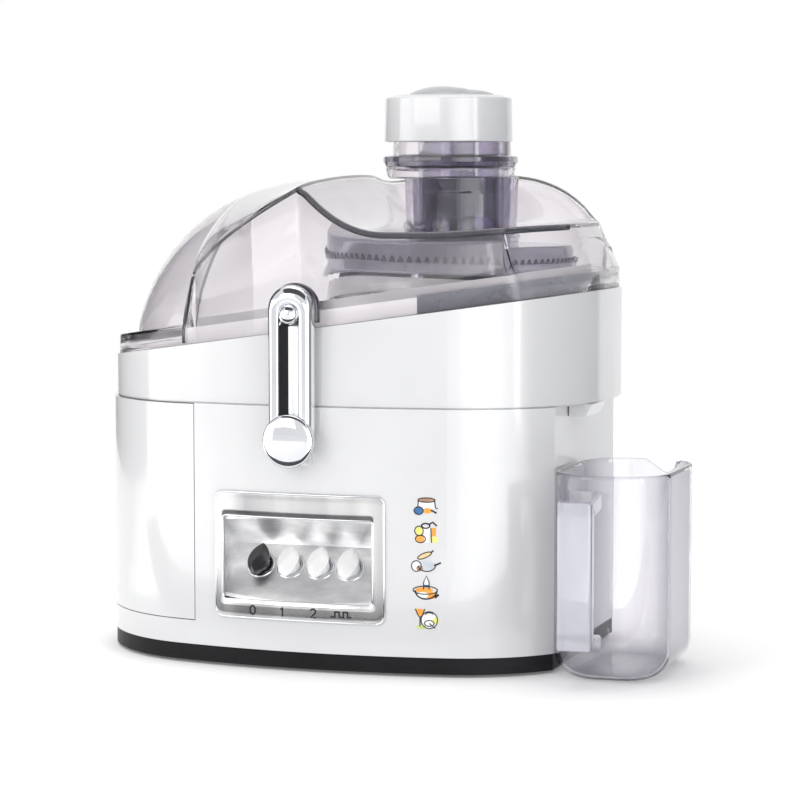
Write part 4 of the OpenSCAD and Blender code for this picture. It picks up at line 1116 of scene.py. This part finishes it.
def pictures():
    """The column of five pictograms to the right of the panel."""
    x, line = 68.0, 0.55
    # pot with a lid over fruit
    picture("mark_pot", x, 93.6,
            [([(-4, 3.2), (4, 3.2), (4.4, -1.6), (-4.4, -1.6)], WHITE), (arc(0, 3.2, 4.6, 1.2), BROWN),
             (arc(-4.2, -2.6, 2.5, 2.1), BLUE), (arc(0.6, -2.6, 2.6, 1.5), ORANGE)],
            [(arc(0, 3.2, 4.6, 1.2), line, True), ([(-4.4, 3), (-4.6, -1)], line, False),
             ([(4.4, 3), (4.8, -1), (6.2, -1.4)], line, False), (arc(-4.2, -2.6, 2.5, 2.1), line, True),
             ([(2.4, -2.2), (5.4, -3.8)], 0.9, False)])
    # glass between fruits
    picture("mark_glass", x, 78.4,
            [(arc(-4.0, 1.6, 2.3, 2.5), YELLOW), (arc(-3.2, -2.8, 2.7, 2.0), ORANGE),
             ([(-1.8, 4), (2.0, 4), (1.2, -4.8), (-1, -4.8)], WHITE),
             ([(2.4, 3.4), (5.2, 3.4), (5.0, -1.2), (2.8, -1.2)], ORANGE),
             (arc(4.2, -3.0, 2.2, 1.8), YELLOW)],
            [(arc(-4.0, 1.6, 2.3, 2.5), line, True), (arc(-3.2, -2.8, 2.7, 2.0), line, True),
             (arc(-0.4, 4.4, 2.2, 1.3), 0.8, True), ([(1.4, 5.2), (3.4, 6.4), (5.6, 4.4)], 0.9, False),
             ([(2.4, 3.2), (2.8, -4.8)], line, False)])
    # tilted spoon over a bowl
    picture("mark_bowl", x - 0.4, 62.6,
            [(arc(-0.6, 4.0, 4.0, 1.3, tilt=24), TAN), (arc(0.6, -1.6, 4.6, 3.0), GREY),
             (arc(-5.0, -1.8, 2.6, 2.9), WHITE), (arc(-3.2, -3.0, 1.8, 1.6), BROWN)],
            [(arc(-0.6, 4.0, 4.0, 1.3, tilt=24), line, True), ([(2.8, 5.6), (4.2, 6.8)], 0.8, False),
             (arc(0.6, -1.6, 4.6, 3.0, 180, 380), line, False), ([(4.6, -1.4), (8.2, 0.2)], 0.9, False),
             (arc(-5.0, -1.8, 2.6, 2.9), line, True)])
    # bottle over a dish
    picture("mark_bottle", x, 47.3,
            [([(-1.4, 2.2), (-1.4, 4.6), (0, 8.0), (1.4, 4.6), (1.4, 2.2)], WHITE),
             ([(-1.5, 0.6), (-1.5, 3.4), (1.5, 3.4), (1.5, 0.6)], BLUE), (arc(-1.2, 0.4, 4.8, 1.6), ORANGE),
             (arc(2.8, -2.4, 2.7, 1.9), ORANGE), (arc(-2.2, -2.2, 3.2, 1.6), WHITE)],
            [([(-1.5, 0.8), (-1.5, 4.6), (0, 8.2), (1.5, 4.6), (1.5, 0.8)], line, False),
             (arc(-0.6, 0.4, 6.6, 2.2), line, True), (arc(-0.2, 0.2, 5.8, 4.6, 180, 360), 0.8, False),
             ([(4.6, -3.6), (6.6, -1.8)], 1.2, False)])
    # goblet beside a cut fruit
    picture("mark_goblet", x, 32.0,
            [([(-6.0, 5.4), (-0.8, 5.4), (-2.2, 1.6), (-4.4, 1.6)], ORANGE),
             (arc(1.6, -0.6, 4.4, 4.6), WHITE),
             (arc(-2.8, -4.4, 2.6, 1.2), GREEN), (arc(5.0, -1.0, 1.8, 1.8), YELLOW)],
            [([(-6.0, 5.4), (-4.4, 1.8), (-3.4, 0.8), (-3.4, -4.2)], line, False),
             ([(-0.8, 5.4), (-2.2, 1.8), (-3.4, 0.8)], line, False), (arc(1.6, -0.6, 4.4, 4.6), line, True),
             (arc(1.6, -2.4, 2.6, 1.6), line, True), (arc(1.6, 2.0, 2.2, 1.4, 20, 170), line, False),
             ([(1.6, -2.4), (4.8, -5.0)], line, False)])


pictures()


# --- keys ---
# (y, z) of the lower and upper edges of the sloping face that the keys stand on
FACE_FOOT, FACE_HEAD = (-104.6, 38.4), (-78.0, 66.0)
KEY_SLOPE = math.atan2(FACE_HEAD[1] - FACE_FOOT[1], FACE_HEAD[0] - FACE_FOOT[0])
KEY_UP, KEY_X, KEY_PITCH = 4.2, -32.4, 17.6
KEY_Y = (FACE_FOOT[0] + FACE_HEAD[0]) / 2 + KEY_UP * math.cos(KEY_SLOPE)
KEY_Z = (FACE_FOOT[1] + FACE_HEAD[1]) / 2 + KEY_UP * math.sin(KEY_SLOPE)
CAP_UNDER, CAP_OVER = 4.7, 8.5


def key_at(i, x, y, z):
    """Local key point: z out of the sloping face, y up along it."""
    c, s = math.cos(KEY_SLOPE), math.sin(KEY_SLOPE)
    return at(KEY_X + KEY_PITCH * i + x, KEY_Y + y * c - z * s, KEY_Z + y * s + z * c)


def key_turned(i, profile, n):
    """Rings of a profile of (radius, height) about the axis of a key."""
    return [[key_at(i, r * math.cos(a), r * math.sin(a), z) for a in full_turn(n)] for r, z in profile]


def key_cap(i, name, mat, slot):
    """Leaf-shaped cap with an S-shaped crest from tip to tip."""
    half_len, half_wid, count = 10.75, 6.0, 40
    arc_r = (4 * half_wid ** 2 + 4 * half_len ** 2) / (8 * half_wid)
    rings = []
    for k in range(count + 1):
        y = -half_len * math.cos(math.pi * k / count)
        w = max(0.05, math.sqrt(arc_r ** 2 - y * y) - (arc_r - half_wid))
        crest = 0.42 * w * math.sin(math.pi * y / half_len)
        ends = 1 - abs(y / half_len) ** 3.0
        ring = []
        for t in [j / 12 for j in range(13)]:
            x = mix(-w, w, t)
            span_x = (w + crest) if x < crest else (w - crest)
            rise = max(0.0, 1 - abs(x - crest) / max(span_x, 0.01)) ** 0.8
            ring.append(key_at(i, x, y, mix(CAP_UNDER + 1.5, CAP_OVER, ends * rise * 0.9 + 0.1 * ends)))
        ring += [key_at(i, w * 0.97, y, CAP_UNDER), key_at(i, -w * 0.97, y, CAP_UNDER)]
        rings.append(ring)
    lofted("cap_" + name, rings, mat, name, slot, (name,), sharp=60)


def key_stem(i, name, mat, slot):
    top = CAP_UNDER + 0.2
    rings = key_turned(i, [(3, -12), (3, -2), (5.5, -2), (5.5, top), (0, top)], 40)
    lofted("stem_" + name, rings, mat, name, slot, caps=(True, False), sharp=40)


def key_collar(i, name):
    """Low chrome ring round the stem, under the cap's lowest place."""
    rings = key_turned(i, [(5.9, -0.3), (7.8, -0.3), (8.2, 0.0), (8.1, 0.4), (7.7, 0.55), (6.4, 0.55),
                           (5.9, 0.3)], 48)
    lofted("collar_" + name, rings, MATS["mirror_chrome"], "base", "mirror_chrome", loop=True)


for key_i, (key_name, key_slot) in enumerate((("key_off", "black_key"), ("key_low", "white_key"),
                                              ("key_high", "white_key"), ("key_pulse", "white_key"))):
    key_cap(key_i, key_name, MATS[key_slot], key_slot)
    key_stem(key_i, key_name, MATS[key_slot], key_slot)
    key_collar(key_i, key_name)
